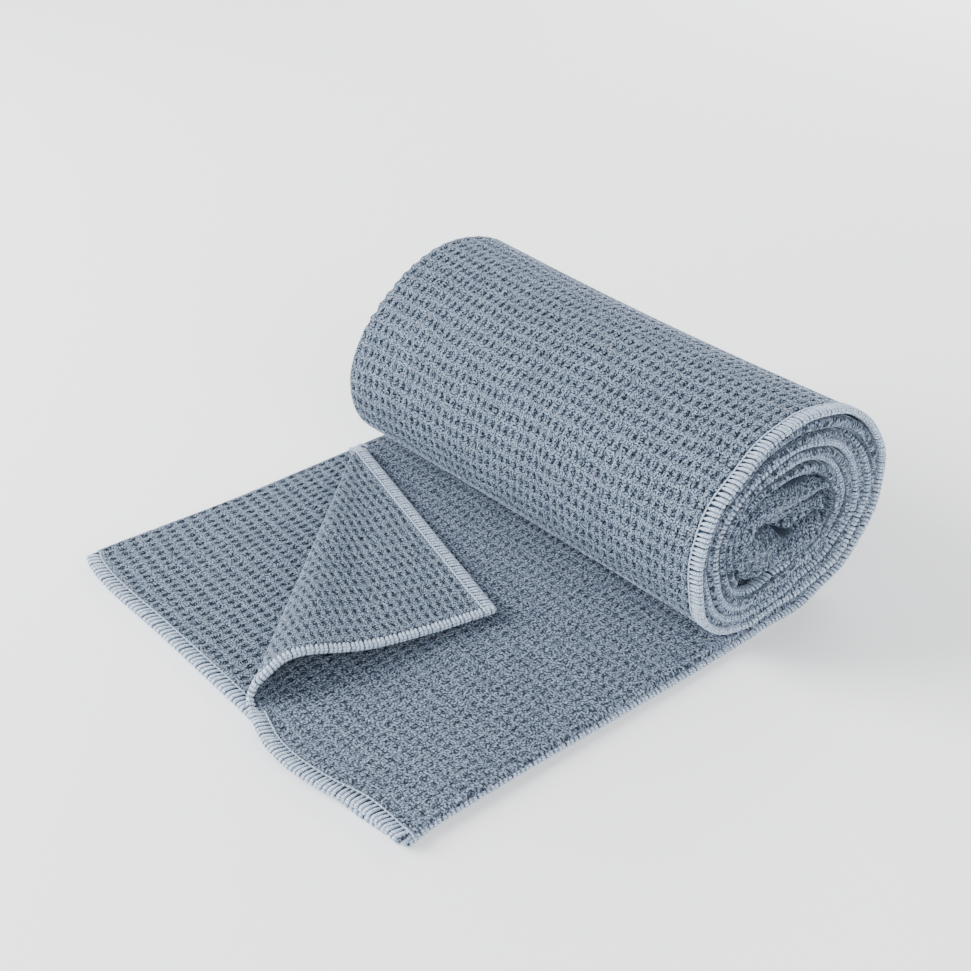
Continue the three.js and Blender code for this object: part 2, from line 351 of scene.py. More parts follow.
@dataclass(frozen=True)
class LoopedMicrofibre:
    """Knitted polyester microfibre with short loops: matt, soft-edged, and flecked by each loop's shadow."""
    name: str
    high: str                     # sRGB of the lit loops on the ridges
    middle: str                   # sRGB of the cloth on the whole
    deep: str                     # sRGB of the cloth's darkest tone, and of the painted shade between the loops and in the pits
    pit_shade: float              # how much painted shade darkens the waffle's pits, 0 for none
    pit_bump: float               # depth of the waffle that the material adds, in millimetres
    loop_bump: float              # height of the loops, in millimetres
    cloth: WaffleCloth = field(default_factory=WaffleCloth)
    loop: float = 1.1             # width of one tuft of loops, drawn a little coarse so that it shows
    fibre: float = 0.62           # width of the finest flecks, drawn coarser than fibres so that they show
    fleck: float = 4.3            # how strongly the flecks lighten and darken the cloth
    fuzz: str = "AEBED4"          # sRGB of the pale fuzz that shows along the cloth's outlines
    painted_shade: str = "2C3745"          # sRGB of the painted shade on the cloth under the edge threads and in deep folds
    stops: tuple[float, float, float] = (0.14, 0.55, 0.96)   # lightness of the deep, middle and high colours
    tuft_middle: float = 0.72     # lightness of a tuft's middle
    tuft_fall: float = 0.6        # how fast it falls towards the tuft's rim
    clouding: float = 0.2         # how much the lightness varies over larger patches
    cloud_scale: float = 0.11     # of those patches in a millimetre
    stray: float = 0.6            # how far the shaded pits stray from their rows, in millimetres
    stray_scale: float = 0.4      # of such strays in a millimetre
    roughness: float = 0.92       # matt, because the loops face every way
    fuzz_spread: float = 0.2      # how far the pale fuzz reaches in from the outlines

    def build(self) -> bpy.types.Material:
        """Makes the material.

        Returns:
            The material, which reads the cloth's own directions and its share of painted shade from the woven
            attribute.
        """
        tree = NodeTree(self.name)
        woven = tree.add("Attribute", {"attribute_name": "woven"})
        parts = tree.add("SeparateXYZ", i0=woven.outputs["Vector"])
        flat = tree.add("CombineXYZ", i0=parts.outputs[0], i1=parts.outputs[1], i2=0.0)
        place = flat.outputs[0]

        tufts = tree.add("TexVoronoi", {"feature": "SMOOTH_F1", "voronoi_dimensions": "2D"}, Vector=place,
                         Scale=1 / self.loop, Smoothness=0.3, Randomness=1.0)
        flecks = tree.add("TexNoise", {"noise_dimensions": "2D"}, Vector=place, Scale=1 / self.fibre,
                          Detail=2.0, Roughness=0.75)
        clouds = tree.add("TexNoise", {"noise_dimensions": "2D"}, Vector=place, Scale=self.cloud_scale,
                          Detail=3.0, Roughness=0.6)
        stray = tree.add("TexNoise", {"noise_dimensions": "2D"}, Vector=place, Scale=self.stray_scale,
                         Detail=1.0)

        def wave(part: Any, cell: float, narrow: float) -> Any:
            """Adds a wave that repeats with the waffle.

            Args:
                part: the way across or down the cloth.
                cell: the waffle cell's size that way.
                narrow: how narrow the wave's tops are.

            Returns:
                The output, from 0 between the pits to 1 in their middles.
            """
            shifted = tree.add("Math", {"operation": "MULTIPLY_ADD"}, i0=stray.outputs["Fac"], i1=self.stray,
                               i2=part)
            turn = tree.add("Math", {"operation": "MULTIPLY"}, i0=shifted.outputs[0], i1=math.tau / cell)
            cosine = tree.add("Math", {"operation": "COSINE"}, i0=turn.outputs[0])
            lobe = tree.add("MapRange", i0=cosine.outputs[0], i1=1.0, i2=-1.0, i3=0.0, i4=1.0)
            return tree.add("Math", {"operation": "POWER"}, i0=lobe.outputs[0], i1=narrow).outputs[0]

        columns = wave(parts.outputs[0], self.cloth.cell_across, self.cloth.narrow[0])
        rows = wave(parts.outputs[1], self.cloth.cell_down, self.cloth.narrow[1])
        pit = tree.add("Math", {"operation": "MULTIPLY"}, i0=columns, i1=rows)
        # The pits leave off, in colour and bump, where the edge threads or deep folds lay their painted shade
        inside = tree.add("Math", {"operation": "SUBTRACT", "use_clamp": True}, i0=1.0, i1=parts.outputs[2])
        pit = tree.add("Math", {"operation": "MULTIPLY"}, i0=pit.outputs[0], i1=inside.outputs[0])

        # The tufts and flecks set the cloth's lightness: partly its own uneven tone, partly painted shade of
        # the loops
        dome = tree.add("Math", {"operation": "MULTIPLY_ADD"}, i0=tufts.outputs["Distance"],
                        i1=-self.tuft_fall, i2=self.tuft_middle)
        pile = tree.add("Math", {"operation": "SUBTRACT"}, i0=flecks.outputs["Fac"], i1=0.5)
        pile = tree.add("Math", {"operation": "MULTIPLY_ADD"}, i0=pile.outputs[0], i1=self.fleck,
                        i2=dome.outputs[0])
        # Painted shade in the waffle's pits, on top of the tufts and flecks
        shade = tree.add("Math", {"operation": "MULTIPLY_ADD"}, i0=pit.outputs[0], i1=-self.pit_shade,
                         i2=pile.outputs[0])
        shade = tree.add("Math", {"operation": "MULTIPLY_ADD"}, i0=clouds.outputs["Fac"], i1=self.clouding,
                         i2=shade.outputs[0])
        ramp = tree.add("ValToRGB", i0=shade.outputs[0])
        stops = ramp.color_ramp.elements
        stops.new(self.stops[1])
        for stop, lightness, shade_there in zip(stops, self.stops, (self.deep, self.middle, self.high)):
            stop.position, stop.color = lightness, linear(shade_there)
        # Painted shade on the cloth under the edge threads and in deep folds
        colour = tree.add("Mix", {"data_type": "RGBA"}, i0=parts.outputs[2], i6=ramp.outputs[0],
                          i7=linear(self.painted_shade))

        height = tree.add("Math", {"operation": "MULTIPLY"}, i0=pile.outputs[0], i1=self.loop_bump)
        height = tree.add("Math", {"operation": "MULTIPLY_ADD"}, i0=pit.outputs[0], i1=-self.pit_bump,
                          i2=height.outputs[0])
        bump = tree.add("Bump", Strength=1.0, Distance=MM, Height=height.outputs[0])
        cloth = tree.add("BsdfPrincipled", Base_Color=colour.outputs[2], Roughness=self.roughness, IOR=1.5,
                         Specular_IOR_Level=0.25, Normal=bump.outputs[0])
        fuzz = tree.add("BsdfSheen", Color=linear(self.fuzz), Roughness=self.fuzz_spread)
        both = tree.add("AddShader", i0=cloth.outputs[0], i1=fuzz.outputs[0])
        tree.add("OutputMaterial", i0=both.outputs[0])
        return tree.material


@dataclass(frozen=True)
class SpunPolyester:
    """Spun polyester overlock thread: soft and matt, lighter than the cloth, its plies twisted round."""
    name: str = "spun_polyester_thread"
    lit: str = "C2CFE1"           # sRGB of the plies where they are lit
    shadow: str = "64758B"        # sRGB between the plies
    stops: tuple[float, float] = (0.25, 0.7)     # lightness of the shadow and lit colours
    ply: float = 0.8              # length of one twist of the plies, drawn coarse so that it shows
    twist_shade: float = 0.12     # how much the twist lightens and darkens the thread
    lean: float = 1.5             # how far the twist runs on round the thread, in radians
    side_shade: float = 0.27      # how much darker a thread is at its sides, where it meets the next one

    def build(self) -> bpy.types.Material:
        """Makes the material.

        Returns:
            The material, which reads the way along and across the thread from the strand attribute.
        """
        tree = NodeTree(self.name)
        strand = tree.add("Attribute", {"attribute_name": "strand"})
        parts = tree.add("SeparateXYZ", i0=strand.outputs["Vector"])
        lean = tree.add("Math", {"operation": "MULTIPLY"}, i0=parts.outputs[1], i1=self.lean)
        turn = tree.add("Math", {"operation": "MULTIPLY_ADD"}, i0=parts.outputs[0], i1=math.tau / self.ply,
                        i2=lean.outputs[0])
        twist = tree.add("Math", {"operation": "SINE"}, i0=turn.outputs[0])
        fuzz = tree.add("TexNoise", Vector=strand.outputs["Vector"], Scale=1.7, Detail=2.0)
        both = tree.add("Math", {"operation": "MULTIPLY_ADD"}, i0=twist.outputs[0], i1=self.twist_shade,
                        i2=fuzz.outputs["Fac"])
        side = tree.add("Math", {"operation": "POWER"}, i0=parts.outputs[1], i1=2.0)
        both = tree.add("Math", {"operation": "MULTIPLY_ADD"}, i0=side.outputs[0], i1=-self.side_shade,
                        i2=both.outputs[0])
        colour = tree.add("ValToRGB", i0=both.outputs[0])
        for stop, lightness, shade in zip(colour.color_ramp.elements, self.stops, (self.shadow, self.lit)):
            stop.position, stop.color = lightness, linear(shade)
        bump = tree.add("Bump", Strength=0.6, Distance=0.15 * MM, Height=both.outputs[0])
        thread = tree.add("BsdfPrincipled", Base_Color=colour.outputs[0], Roughness=0.8, IOR=1.5,
                          Specular_IOR_Level=0.3, Sheen_Weight=0.2, Sheen_Roughness=0.4,
                          Normal=bump.outputs[0])
        tree.add("OutputMaterial", i0=thread.outputs[0])
        return tree.material


@dataclass(frozen=True)
class MattPaper:
    """Matt white paper for the floor, with a faint tooth."""
    name: str = "matt_paper"
    sheet: str = "F4F5F6"         # sRGB of the paper

    def build(self) -> bpy.types.Material:
        """Makes the material.

        Returns:
            The material.
        """
        tree = NodeTree(self.name)
        tooth = tree.add("TexNoise", Scale=900.0, Detail=2.0)
        bump = tree.add("Bump", Strength=0.1, Distance=0.1 * MM, Height=tooth.outputs["Fac"])
        paper = tree.add("BsdfPrincipled", Base_Color=linear(self.sheet), Roughness=0.95,
                         Specular_IOR_Level=0.1, Normal=bump.outputs[0])
        tree.add("OutputMaterial", i0=paper.outputs[0])
        return tree.material


# Meshes

def make_piece(name: str, points: np.ndarray, faces: list, finishes: Sequence[bpy.types.Material],
               face_finish: np.ndarray | None, attribute: str, values: np.ndarray) -> bpy.types.Object:
    """Makes an object in its place from points in millimetres.

    Args:
        name: the piece's name.
        points: its points, in the shaping directions.
        faces: its faces, as rows of point numbers.
        finishes: its materials.
        face_finish: which material each face has, or None where there is one.
        attribute: the name of what its materials read at each point.
        values: that attribute's three numbers at each point.

    Returns:
        The object, riding on the part.
    """
    mesh = bpy.data.meshes.new(name)
    mesh.from_pydata(((points + np.array(PLACE)) * MM).tolist(), [], faces)
    for finish in finishes:
        mesh.materials.append(finish)
    if face_finish is not None:
        mesh.polygons.foreach_set("material_index", np.asarray(face_finish, np.int32))
    mesh.polygons.foreach_set("use_smooth", np.ones(len(mesh.polygons), bool))
    layer = mesh.attributes.new(attribute, "FLOAT_VECTOR", "POINT")
    layer.data.foreach_set("vector", np.asarray(values, np.float32).ravel())
    mesh.update()
    piece = bpy.data.objects.new(name, mesh)
    bpy.context.scene.collection.objects.link(piece)
    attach(piece, "root")
    return piece


def grid_faces(numbers: np.ndarray) -> np.ndarray:
    """Faces between the points of a grid.

    Args:
        numbers: the points' numbers, in rows and columns.

    Returns:
        Four point numbers for each face, turned so that it faces along across × down.
    """
    corners = (numbers[:-1, :-1], numbers[:-1, 1:], numbers[1:, 1:], numbers[1:, :-1])
    return np.stack(corners, -1).reshape(-1, 4)


@dataclass
class Tailor:
    """Turns the drapes into closed pieces of cloth with both their faces."""
    cloth: WaffleCloth
    waffle_face: bpy.types.Material
    plain_face: bpy.types.Material
    trim_width: float = 5.0       # how far the edge thread covers the cloth and lays its painted shade
    trim_fade: tuple[float, float] = (0.8, 0.4)   # over which its painted shade ends, before there and after

    def make(self, name: str, drape: Drape, back: Sequence[int]) -> bpy.types.Object:
        """Makes one stretch of cloth, closed all round.

        Args:
            name: the piece's name.
            drape: how it lies.
            back: the columns that its plain face keeps, from the first to the last.

        Returns:
            The piece.
        """
        cloth, normals = self.cloth, drape.normals()
        whole = smoothstep(drape.edge, *cloth.hem_flat)[..., None]
        pits = cloth.pits(drape.flat)[..., None]
        half = cloth.layer / 2 * lerp(cloth.hem_thickness, 1.0, whole)
        waffle = drape.points + normals * (half + whole * (cloth.ridge - cloth.pit * drape.depth * pits))
        plain = drape.points - normals * (half + whole * cloth.plain_relief * (pits - 0.5))
        plain = plain[:, back]

        rows, columns = drape.points.shape[:2]
        front = np.arange(rows * columns).reshape(rows, columns)
        rear = rows * columns + np.arange(rows * len(back)).reshape(rows, len(back))
        faces = [grid_faces(front), grid_faces(rear[:, ::-1])]
        for a, b in ((front[:, -1], rear[:, -1]), (rear[:, 0], front[:, 0])):
            faces.append(grid_faces(np.stack([a, b], 1)))
        sides = sum(len(f) for f in faces)
        quads = np.concatenate(faces).tolist()
        quads += self.close_row(front[0], rear[0], back, False)
        quads += self.close_row(front[-1], rear[-1], back, True)

        # Painted shade under the edge threads, taken off where the cloth lies open, and the painted shade of
        # deep folds, as the woven attribute's third value
        before, after = self.trim_fade
        painted_shade = 1 - smoothstep(drape.edge, self.trim_width - before, self.trim_width + after)
        painted_shade = painted_shade * (1 - drape.bare)
        woven = np.concatenate([cloth.woven(drape.flat), np.maximum(painted_shade, drape.shaded)[..., None]], -1)
        finish = np.zeros(len(quads), int)
        finish[len(faces[0]):sides] = 1
        return make_piece(
            name, np.concatenate([waffle.reshape(-1, 3), plain.reshape(-1, 3)]), quads,
            [self.waffle_face, self.plain_face], finish, "woven",
            np.concatenate([woven.reshape(-1, 3), woven[:, back].reshape(-1, 3)]),
        )

    @staticmethod
    def close_row(front: np.ndarray, rear: np.ndarray, back: Sequence[int], far: bool) -> list:
        """Faces between one row's waffle side and its plain side, which has fewer points.

        Args:
            front: the waffle side's point numbers.
            rear: the plain side's point numbers.
            back: the column of each of the plain side's points.
            far: True for the last row, whose faces turn the other way.

        Returns:
            Triangles and quads, as lists of point numbers.
        """
        faces = []
        for k in range(len(back) - 1):
            fan = [int(front[i]) for i in range(back[k], back[k + 1] + 1)]
            face = [int(rear[k]), *fan, int(rear[k + 1])]
            faces.append(face if far else face[::-1])
        return faces


# The tail

@dataclass
class FlatTail:
    """The flat tail: three layers of the folded towel, the top one with its left corner turned over."""
    cloth: WaffleCloth
    grain: float = 0.9            # spacing of the points that carry the waffle
    folded_width: float = 203.0
    first_height: float = 1.0     # middle of the bottom layer above the floor
    tip: tuple[float, float, float] = (4.6, 132.7, 4.4)   # of the cone that the corner turns over
    tip_from_hem: float = 139.0   # how far down the cut cloth that tip is
    least_turn: float = 2.6       # height of the fold beside the cone's tip
    wholly_over: float = 99.0     # along the hem from the towel's corner
    wholly_flat: float = 118.0
    last_ray: float = 133.0
    end: float = 172.0            # where the roll's pieces take over, under the roll
    thread: float = 0.8           # how far the edge thread reaches past the cloth
    top_left: float = 1.4         # from the left fold to the top layer's free edge, behind the turned corner
    pressed: float = 0.48         # share of the waffle's full depth that is left in the tail
    bottom_steps: int = 40        # points across the bottom layer, of which only the edges show
    fold_steps: int = 7           # points round each long fold
    flat_steps: int = 70          # points across the top layer's flat part
    last_share: float = 0.012     # of the way from the tip to the hem, where the cone's last row lies
    behind_grain: float = 1.2     # spacing of the rows behind the tip
    swell: float = 0.35           # height of the slow swells in which the layers lie
    sample_row: int = 40          # the row whose length is taken for all of them
    top_narrower: float = 6.0     # how much less cloth the top layer has than the folded width
    least_spread: float = 0.4     # share of the width behind the tip that the rays have at the tip
    cord_narrower: float = 1.8    # how much less far the turned corner's hem stitches reach than the others
    behind_tip: float = 26.0      # width of top layer that the cone's rays take up where it ends
    hem: Table = field(default_factory=lambda: Table("x top middle bottom", [
        (0, -3.0, -0.5, 0.5), (8, -4.0, -3.2, -2.2), (25, -5.0, -5.0, -3.8), (60, -5.0, -4.4, -3.4),
        (118, -6.0, -4.5, -3.6), (150, -9.2, -6.0, -4.4), (168, -7.4, -4.6, -3.6), (185, -2.8, -1.6, -2.4),
        (206, -2.4, -1.2, 1.5)]))
    edges: Table = field(default_factory=lambda: Table("y left right free", [
        (-6, 1.0, 203.2, 206.5), (9, 1.4, 203.2, 204.0), (20, 1.8, 203.0, 203.6), (60, 3.3, 202.8, 203.5),
        (95, 3.4, 202.7, 204.3), (140, 2.2, 203.0, 204.9), (175, 3.2, 202.8, 204.6)]))
    turned_hem: Table = field(default_factory=lambda: Table("along x y z", [
        (0, 137.5, 97.4, 7.4), (28, 133.2, 71.1, 8.8), (56, 127.7, 44.5, 11.2), (80, 121.3, 22.9, 16.1),
        (90, 119.8, 13.9, 16.6), (99, 120.0, 6.0, 14.2), (105, 119.0, 1.6, 10.4), (110, 119.2, -1.0, 6.6),
        (115, 122.4, -3.0, 4.9), (121, 128.3, -5.2, 4.4), (133, 139.5, -8.4, 4.4)]))

    def height(self, layer: Layer) -> float:
        """Height of a layer's middle above the floor."""
        return self.first_height + self.cloth.spacing * list(Layer).index(layer)

    def rows(self) -> tuple[np.ndarray, np.ndarray]:
        """Rows of points down the tail.

        Returns:
            Each row's share of the way from the cone's tip to the hem, 0 behind the tip, and its y there.
        """
        shares = np.linspace(1, self.last_share, round(self.tip_from_hem / self.grain))
        behind = np.arange(self.tip[1] + self.behind_grain, self.end, self.behind_grain)
        behind = np.append(behind, self.end)
        return (np.concatenate([shares, np.zeros(len(behind))]),
                np.concatenate([self.tip[1] * (1 - shares), behind]))

    def lie(self, x: np.ndarray, layer: Layer) -> np.ndarray:
        """Points of a layer where it lies flat, at each row and at the given x.

        Args:
            x: the points' x, rows by columns.
            layer: which layer.

        Returns:
            The points.
        """
        shares, behind = self.rows()
        hem = self.hem.read(layer.value, x) + self.thread
        y = np.where(shares[:, None] > 0, lerp(self.tip[1], hem, shares[:, None]), behind[:, None])
        swell = self.swell * np.sin(x / 23 + y / 31 + 1.0) * np.sin(y / 19 + x / 57) * smoothstep(y, -4, 20)
        swell = swell * (1 - smoothstep(y, 130, 160)) * (0.3 + 0.35 * list(Layer).index(layer))
        return np.stack([x, y, self.height(layer) + swell], -1)

    def fold(self, x: np.ndarray, lower: Layer, upper: Layer, side: int) -> np.ndarray:
        """Points round a long fold between two layers.

        Args:
            x: the fold's x at each row, where the layers end.
            lower: the layer under the fold.
            upper: the layer over it.
            side: -1 on the left and 1 on the right.

        Returns:
            The points, rows by steps.
        """
        steps = self.fold_steps
        start, stop = self.lie(x[:, None], lower), self.lie(x[:, None], upper)
        angle = np.pi * (np.arange(steps) + 1)[None, :, None] / (steps + 1)
        points = lerp(start, stop, (1 - np.cos(angle)) / 2)
        points[..., 0] += side * self.cloth.spacing / 2 * np.sin(angle[..., 0])
        return points

    def down(self) -> np.ndarray:
        """Distance of each row from the hem, down the cut cloth."""
        shares, y = self.rows()
        return np.where(shares > 0, self.tip_from_hem * (1 - shares), self.tip_from_hem + y - self.tip[1])

    def lower_layers(self) -> tuple[Drape, list[int]]:
        """The bottom layer, the left fold and the middle layer.

        Returns:
            The drape, and the columns that its plain face keeps.
        """
        _, y = self.rows()
        half = self.cloth.spacing / 2
        left = self.edges.read("left", y) + half
        right = self.edges.read("right", y) - half
        free = self.edges.read("free", y) - self.thread
        bottom_steps, middle_steps = self.bottom_steps, round(self.folded_width / self.grain)
        share = np.linspace(0, 1, bottom_steps)[None]
        bottom = self.lie(lerp(free[:, None], left[:, None], share), Layer.BOTTOM)
        turn = self.fold(left, Layer.BOTTOM, Layer.MIDDLE, -1)
        share = np.linspace(0, 1, middle_steps)[None]
        middle = self.lie(lerp(left[:, None], right[:, None], share), Layer.MIDDLE)
        points = np.concatenate([bottom, turn, middle], 1)
        steps = np.linalg.norm(np.diff(points[self.sample_row], axis=0), axis=1)
        across = np.concatenate([[0], np.cumsum(steps)])
        flat = np.stack(np.broadcast_arrays(across[None], self.down()[:, None]), -1)
        edge = np.minimum(flat[..., 0], flat[..., 1])
        fold_end = bottom_steps + self.fold_steps + 1
        back = sorted({*range(0, bottom_steps, 6), *range(bottom_steps - 1, fold_end, 2),
                       *range(fold_end, points.shape[1], 9), points.shape[1] - 1})
        bare = np.zeros(points.shape[1])
        # No painted thread shade round the left fold's end
        bare[bottom_steps - 1:fold_end + 1] = 1
        return Drape(points, flat, edge, bare=bare, depth=self.pressed), back

    def turned_point(self, along: np.ndarray, share: np.ndarray) -> np.ndarray:
        """Points of the turned corner, on rays from the cone's tip to the hem.

        Args:
            along: where each ray meets the hem, from the towel's corner.
            share: the share of the way from the tip to the hem.

        Returns:
            The points, shares by rays.
        """
        hem = np.stack([self.turned_hem.read(name, along) for name in "xyz"], -1)[None]
        tip = np.array(self.tip)
        points = tip + (hem - tip) * share[:, None, None]
        over = 1 - smoothstep(along, self.wholly_over, self.wholly_flat)
        rise = points[..., 2] - tip[2]
        least = self.least_turn * over[None] * smoothstep(share, 0, 0.07)[:, None]
        points[..., 2] = tip[2] + np.hypot(rise, least)
        return points

    def top_layer(self) -> tuple[Drape, list[int]]:
        """The right fold and the top layer with its turned corner.

        Returns:
            The drape, and the columns that its plain face keeps.
        """
        shares, y = self.rows()
        before = shares > 0
        half = self.cloth.spacing / 2
        left, right = self.edges.read("left", y), self.edges.read("right", y) - half
        turn = self.fold(right, Layer.MIDDLE, Layer.TOP, 1)
        start = self.lie(right[:, None], Layer.MIDDLE)

        rays = np.linspace(self.last_ray, 0, round(self.last_ray / self.grain) + 1)
        fan = np.empty((len(shares), len(rays), 3))
        fan[before] = self.turned_point(rays, shares[before])
        widening = lerp(self.least_spread, 1.0, smoothstep(y[~before], self.tip[1], self.end))
        free = left[~before] + self.top_left
        behind = free[:, None] + self.behind_tip * widening[:, None] * rays[None] / self.last_ray
        whole = np.broadcast_to(left[:, None], (len(y), len(rays))).copy()
        whole[~before] = behind
        fan[~before] = self.lie(whole, Layer.TOP)[~before]

        share = np.linspace(0, 1, self.flat_steps)[None]
        level = self.lie(lerp(right[:, None], fan[:, :1, 0], share), Layer.TOP)
        blend = smoothstep(share, 0.5, 1.0)[..., None]
        gap = fan[:, :1] - level[:, -1:]
        points = np.concatenate([start, turn, (level + gap * blend)[:, :-1], fan], 1)

        width = self.folded_width - self.top_narrower
        down = self.down()
        ray_across = np.where(before[:, None], rays[None] * shares[:, None], whole - left[:, None])
        ray_down = np.where(before[:, None], self.tip_from_hem * (1 - shares[:, None]), down[:, None])
        inner = lerp(width, ray_across[:, :1], share)[:, :-1]
        level_start = self.fold_steps + 1
        back_to_level = points[:, :level_start] - points[:, level_start:level_start + 1]
        head = width + np.linalg.norm(back_to_level, axis=-1)
        across = np.concatenate([head, inner, ray_across], 1)
        flat_down = np.concatenate([np.broadcast_to(down[:, None], (len(y), points.shape[1] - len(rays))),
                                    np.broadcast_to(ray_down, (len(y), len(rays)))], 1)
        unseen = smoothstep(y, self.tip[1] + 2, self.tip[1] + 8)[:, None]
        over = np.zeros(points.shape[1])
        over[-len(rays):] = 1 - smoothstep(rays, self.wholly_over, self.wholly_flat)
        edge = np.minimum(across, flat_down + over * self.cord_narrower) + unseen * self.folded_width
        flat = np.stack([3 * self.folded_width - across, flat_down], -1)
        columns, fan_start = points.shape[1], points.shape[1] - len(rays)
        back = sorted({*range(level_start), *range(level_start, fan_start, 6),
                       *range(fan_start, columns, 2), columns - 1})
        bare = np.zeros(columns)
        # No painted thread shade round the right fold's end
        bare[:level_start + 2] = 1
        return Drape(points, flat, edge, bare=bare, depth=self.pressed), back


# The roll

@dataclass
class Winding:
    """The folded towel wound up: how its band runs at both ends of the roll, and its layers inside it."""
    cloth: WaffleCloth
    start: float = 172.0          # y where the tail's pieces hand over
    tail_left: float = 3.2        # x of the tail's left fold there
    tail_right: float = 202.8     # x of its right fold there
    folded_width: float = 203.0
    neat_turns: float = 4.5
    outer_depth: float = 1.0      # middle of the outer layer under the band's outer face
    band: float = 4.8             # thickness of the three layers where they lie close
    recess_per_turn: float = 0.45 # how much further in each turn's edges lie than the last one's
    core_recess: float = 5.0      # how far in they lie in the crumpled middle
    sag: float = 1.6              # dip of the roll's surface between its ends
    free_edge: float = 0.6        # how far the outer layer's edge stands out past the right fold
    first_down: float = 178.0     # how far down the cut cloth the winding starts
    top_edge: float = 2.0         # how far the top layer's edge stays short of the left fold
    between_turns: float = 1.5    # of a turn's step, left free between it and the next turn
    least_spacing: float = 1.6    # from the middle of one layer to the next in the roll
    most_spacing: float = 2.9     # the same where the band lies loosest
    core_spacing: float = 1.75    # the same in the crumpled middle
    steps_per_turn: int = 480     # points of the band's middle line on each turn
    core_steps: int = 900         # its points in the crumpled middle
    lead_steps: int = 24          # its points before the first turn
    uneven: tuple = ((0.45, 17, math.inf, 1), (0.3, 7.3, math.inf, 0), (0.25, 3.9, math.inf, 2))
    middle: dict = field(default_factory=lambda: {End.RIGHT: (184.9, 38.3), End.LEFT: (179.4, 40.6)})
    turns: Table = field(default_factory=lambda: Table("direction right left right_step left_step inset", [
        (0, 38.3, 40.6, 5.8, 6.4, 4), (30, 41.8, 41.4, 6.9, 6.6, 5), (60, 50.4, 44.4, 7.4, 6.1, 7),
        (90, 57.0, 49.2, 7.6, 5.9, 8), (120, 55.4, 53.0, 7.2, 6.6, 9), (150, 53.8, 54.6, 6.6, 6.7, 10),
        (180, 52.4, 53.0, 6.1, 6.2, 10), (210, 52.6, 51.4, 5.6, 5.5, 10), (240, 54.9, 51.8, 5.3, 5.3, 9),
        (270, 51.0, 53.6, 5.3, 5.7, 8), (300, 46.6, 49.6, 5.3, 5.8, 6), (330, 38.0, 40.7, 5.5, 6.0, 4),
        (345, 34.0, 36.3, 5.7, 6.2, 4), (360, 32.5, 34.2, 5.8, 6.4, 4)]))
    drawn_in: Table = field(default_factory=lambda: Table("turn edge fold puff", [
        (0, 0, 0.4, 1), (0.35, 0, 0.4, 1), (0.43, 0, 0.8, 1.4), (0.62, 0, 0.8, 1.4), (0.75, 0, 0.4, 1),
        (0.85, 0, 0, 1), (1.0, 1.0, 0, 1), (1.3, 1.0, 0, 1), (1.4, 8, 0, 1), (1.64, 8, 0, 1),
        (1.75, 1.2, 0, 1), (3.8, 1.2, 0, 1), (3.92, 1.2, 11, 1), (4.08, 1.6, 13, 1), (4.16, 12, 13, 1),
        (4.6, 14, 14, 1)]))
    core: Table = field(default_factory=lambda: Table("point y z", [
        (0, 172.0, 62.2), (1, 161.6, 55.6), (2, 158.8, 45.4), (3, 162.6, 35.6), (4, 172.0, 30.8),
        (5, 186.0, 29.8), (6, 198.0, 33.8), (7, 204.2, 42.6), (8, 203.8, 52.0), (9, 196.6, 57.6),
        (10, 184.0, 58.0), (11, 172.4, 55.6), (12, 165.4, 49.4), (13, 168.4, 42.6), (14, 177.0, 41.6),
        (15, 186.0, 45.4), (16, 193.6, 47.8), (17, 197.4, 43.0), (18, 193.0, 37.2), (19, 184.0, 35.8),
        (20, 175.0, 36.6)]))

    def __post_init__(self) -> None:
        """Lays out the band's middle line at both ends, in small steps."""
        turn = np.linspace(0, self.neat_turns, round(self.neat_turns * self.steps_per_turn) + 1)
        core_share = np.linspace(0, 1, self.core_steps)[1:]
        lead = np.linspace(0, 1, self.lead_steps)[:-1]
        direction = 360 * (turn - np.floor(turn))
        lines = {}
        for end in End:
            y0, z0 = self.middle[end]
            radius = (self.turns.read(end.value, direction)
                      - np.floor(turn) * self.turns.read(end.value + "_step", direction) - self.band / 2)
            angle = np.radians(direction - 90)
            neat = np.stack([y0 + radius * np.cos(angle), z0 + radius * np.sin(angle)], -1)
            shift = np.array([y0, z0]) - np.array(self.middle[End.RIGHT])
            knots = np.concatenate([neat[-1:], np.stack([self.core.columns["y"], self.core.columns["z"]], -1)
                                    + shift])
            run = np.concatenate([[0], np.cumsum(np.linalg.norm(np.diff(knots, axis=0), axis=1))])
            route = Table("run y z", np.column_stack([run, knots]))
            core = np.stack([route.read(c, core_share * run[-1]) for c in "yz"], -1)
            flat = np.stack([lerp(self.start, neat[0, 0], lead), lerp(self.band / 2, neat[0, 1], lead)], -1)
            lines[end] = self.soften(np.concatenate([flat, neat, core]))
        mean = (lines[End.LEFT] + lines[End.RIGHT]) / 2
        self.run = np.concatenate([[0], np.cumsum(np.linalg.norm(np.diff(mean, axis=0), axis=1))])
        self.lines = lines
        self.turn = np.concatenate([np.zeros(len(lead)), turn, np.full(len(core_share), self.neat_turns)])
        self.direction = np.concatenate([np.zeros(len(lead)), direction, np.full(len(core_share), 180.0)])
        self.cored = np.concatenate([np.zeros(len(lead) + len(turn)), core_share])

    @staticmethod
    def soften(line: np.ndarray) -> np.ndarray:
        """Rounds off the small kinks between a line's stretches.

        Args:
            line: the line's points.

        Returns:
            The smoother line, with as many points.
        """
        reach = 9
        weights = np.exp(-0.5 * (np.arange(-reach, reach + 1) / (reach / 2.2)) ** 2)
        padded = np.concatenate([2 * line[:1] - line[reach:0:-1], line,
                                 2 * line[-1:] - line[-2:-reach - 2:-1]])
        return np.stack([np.convolve(padded[:, k], weights / weights.sum(), "valid") for k in (0, 1)], -1)

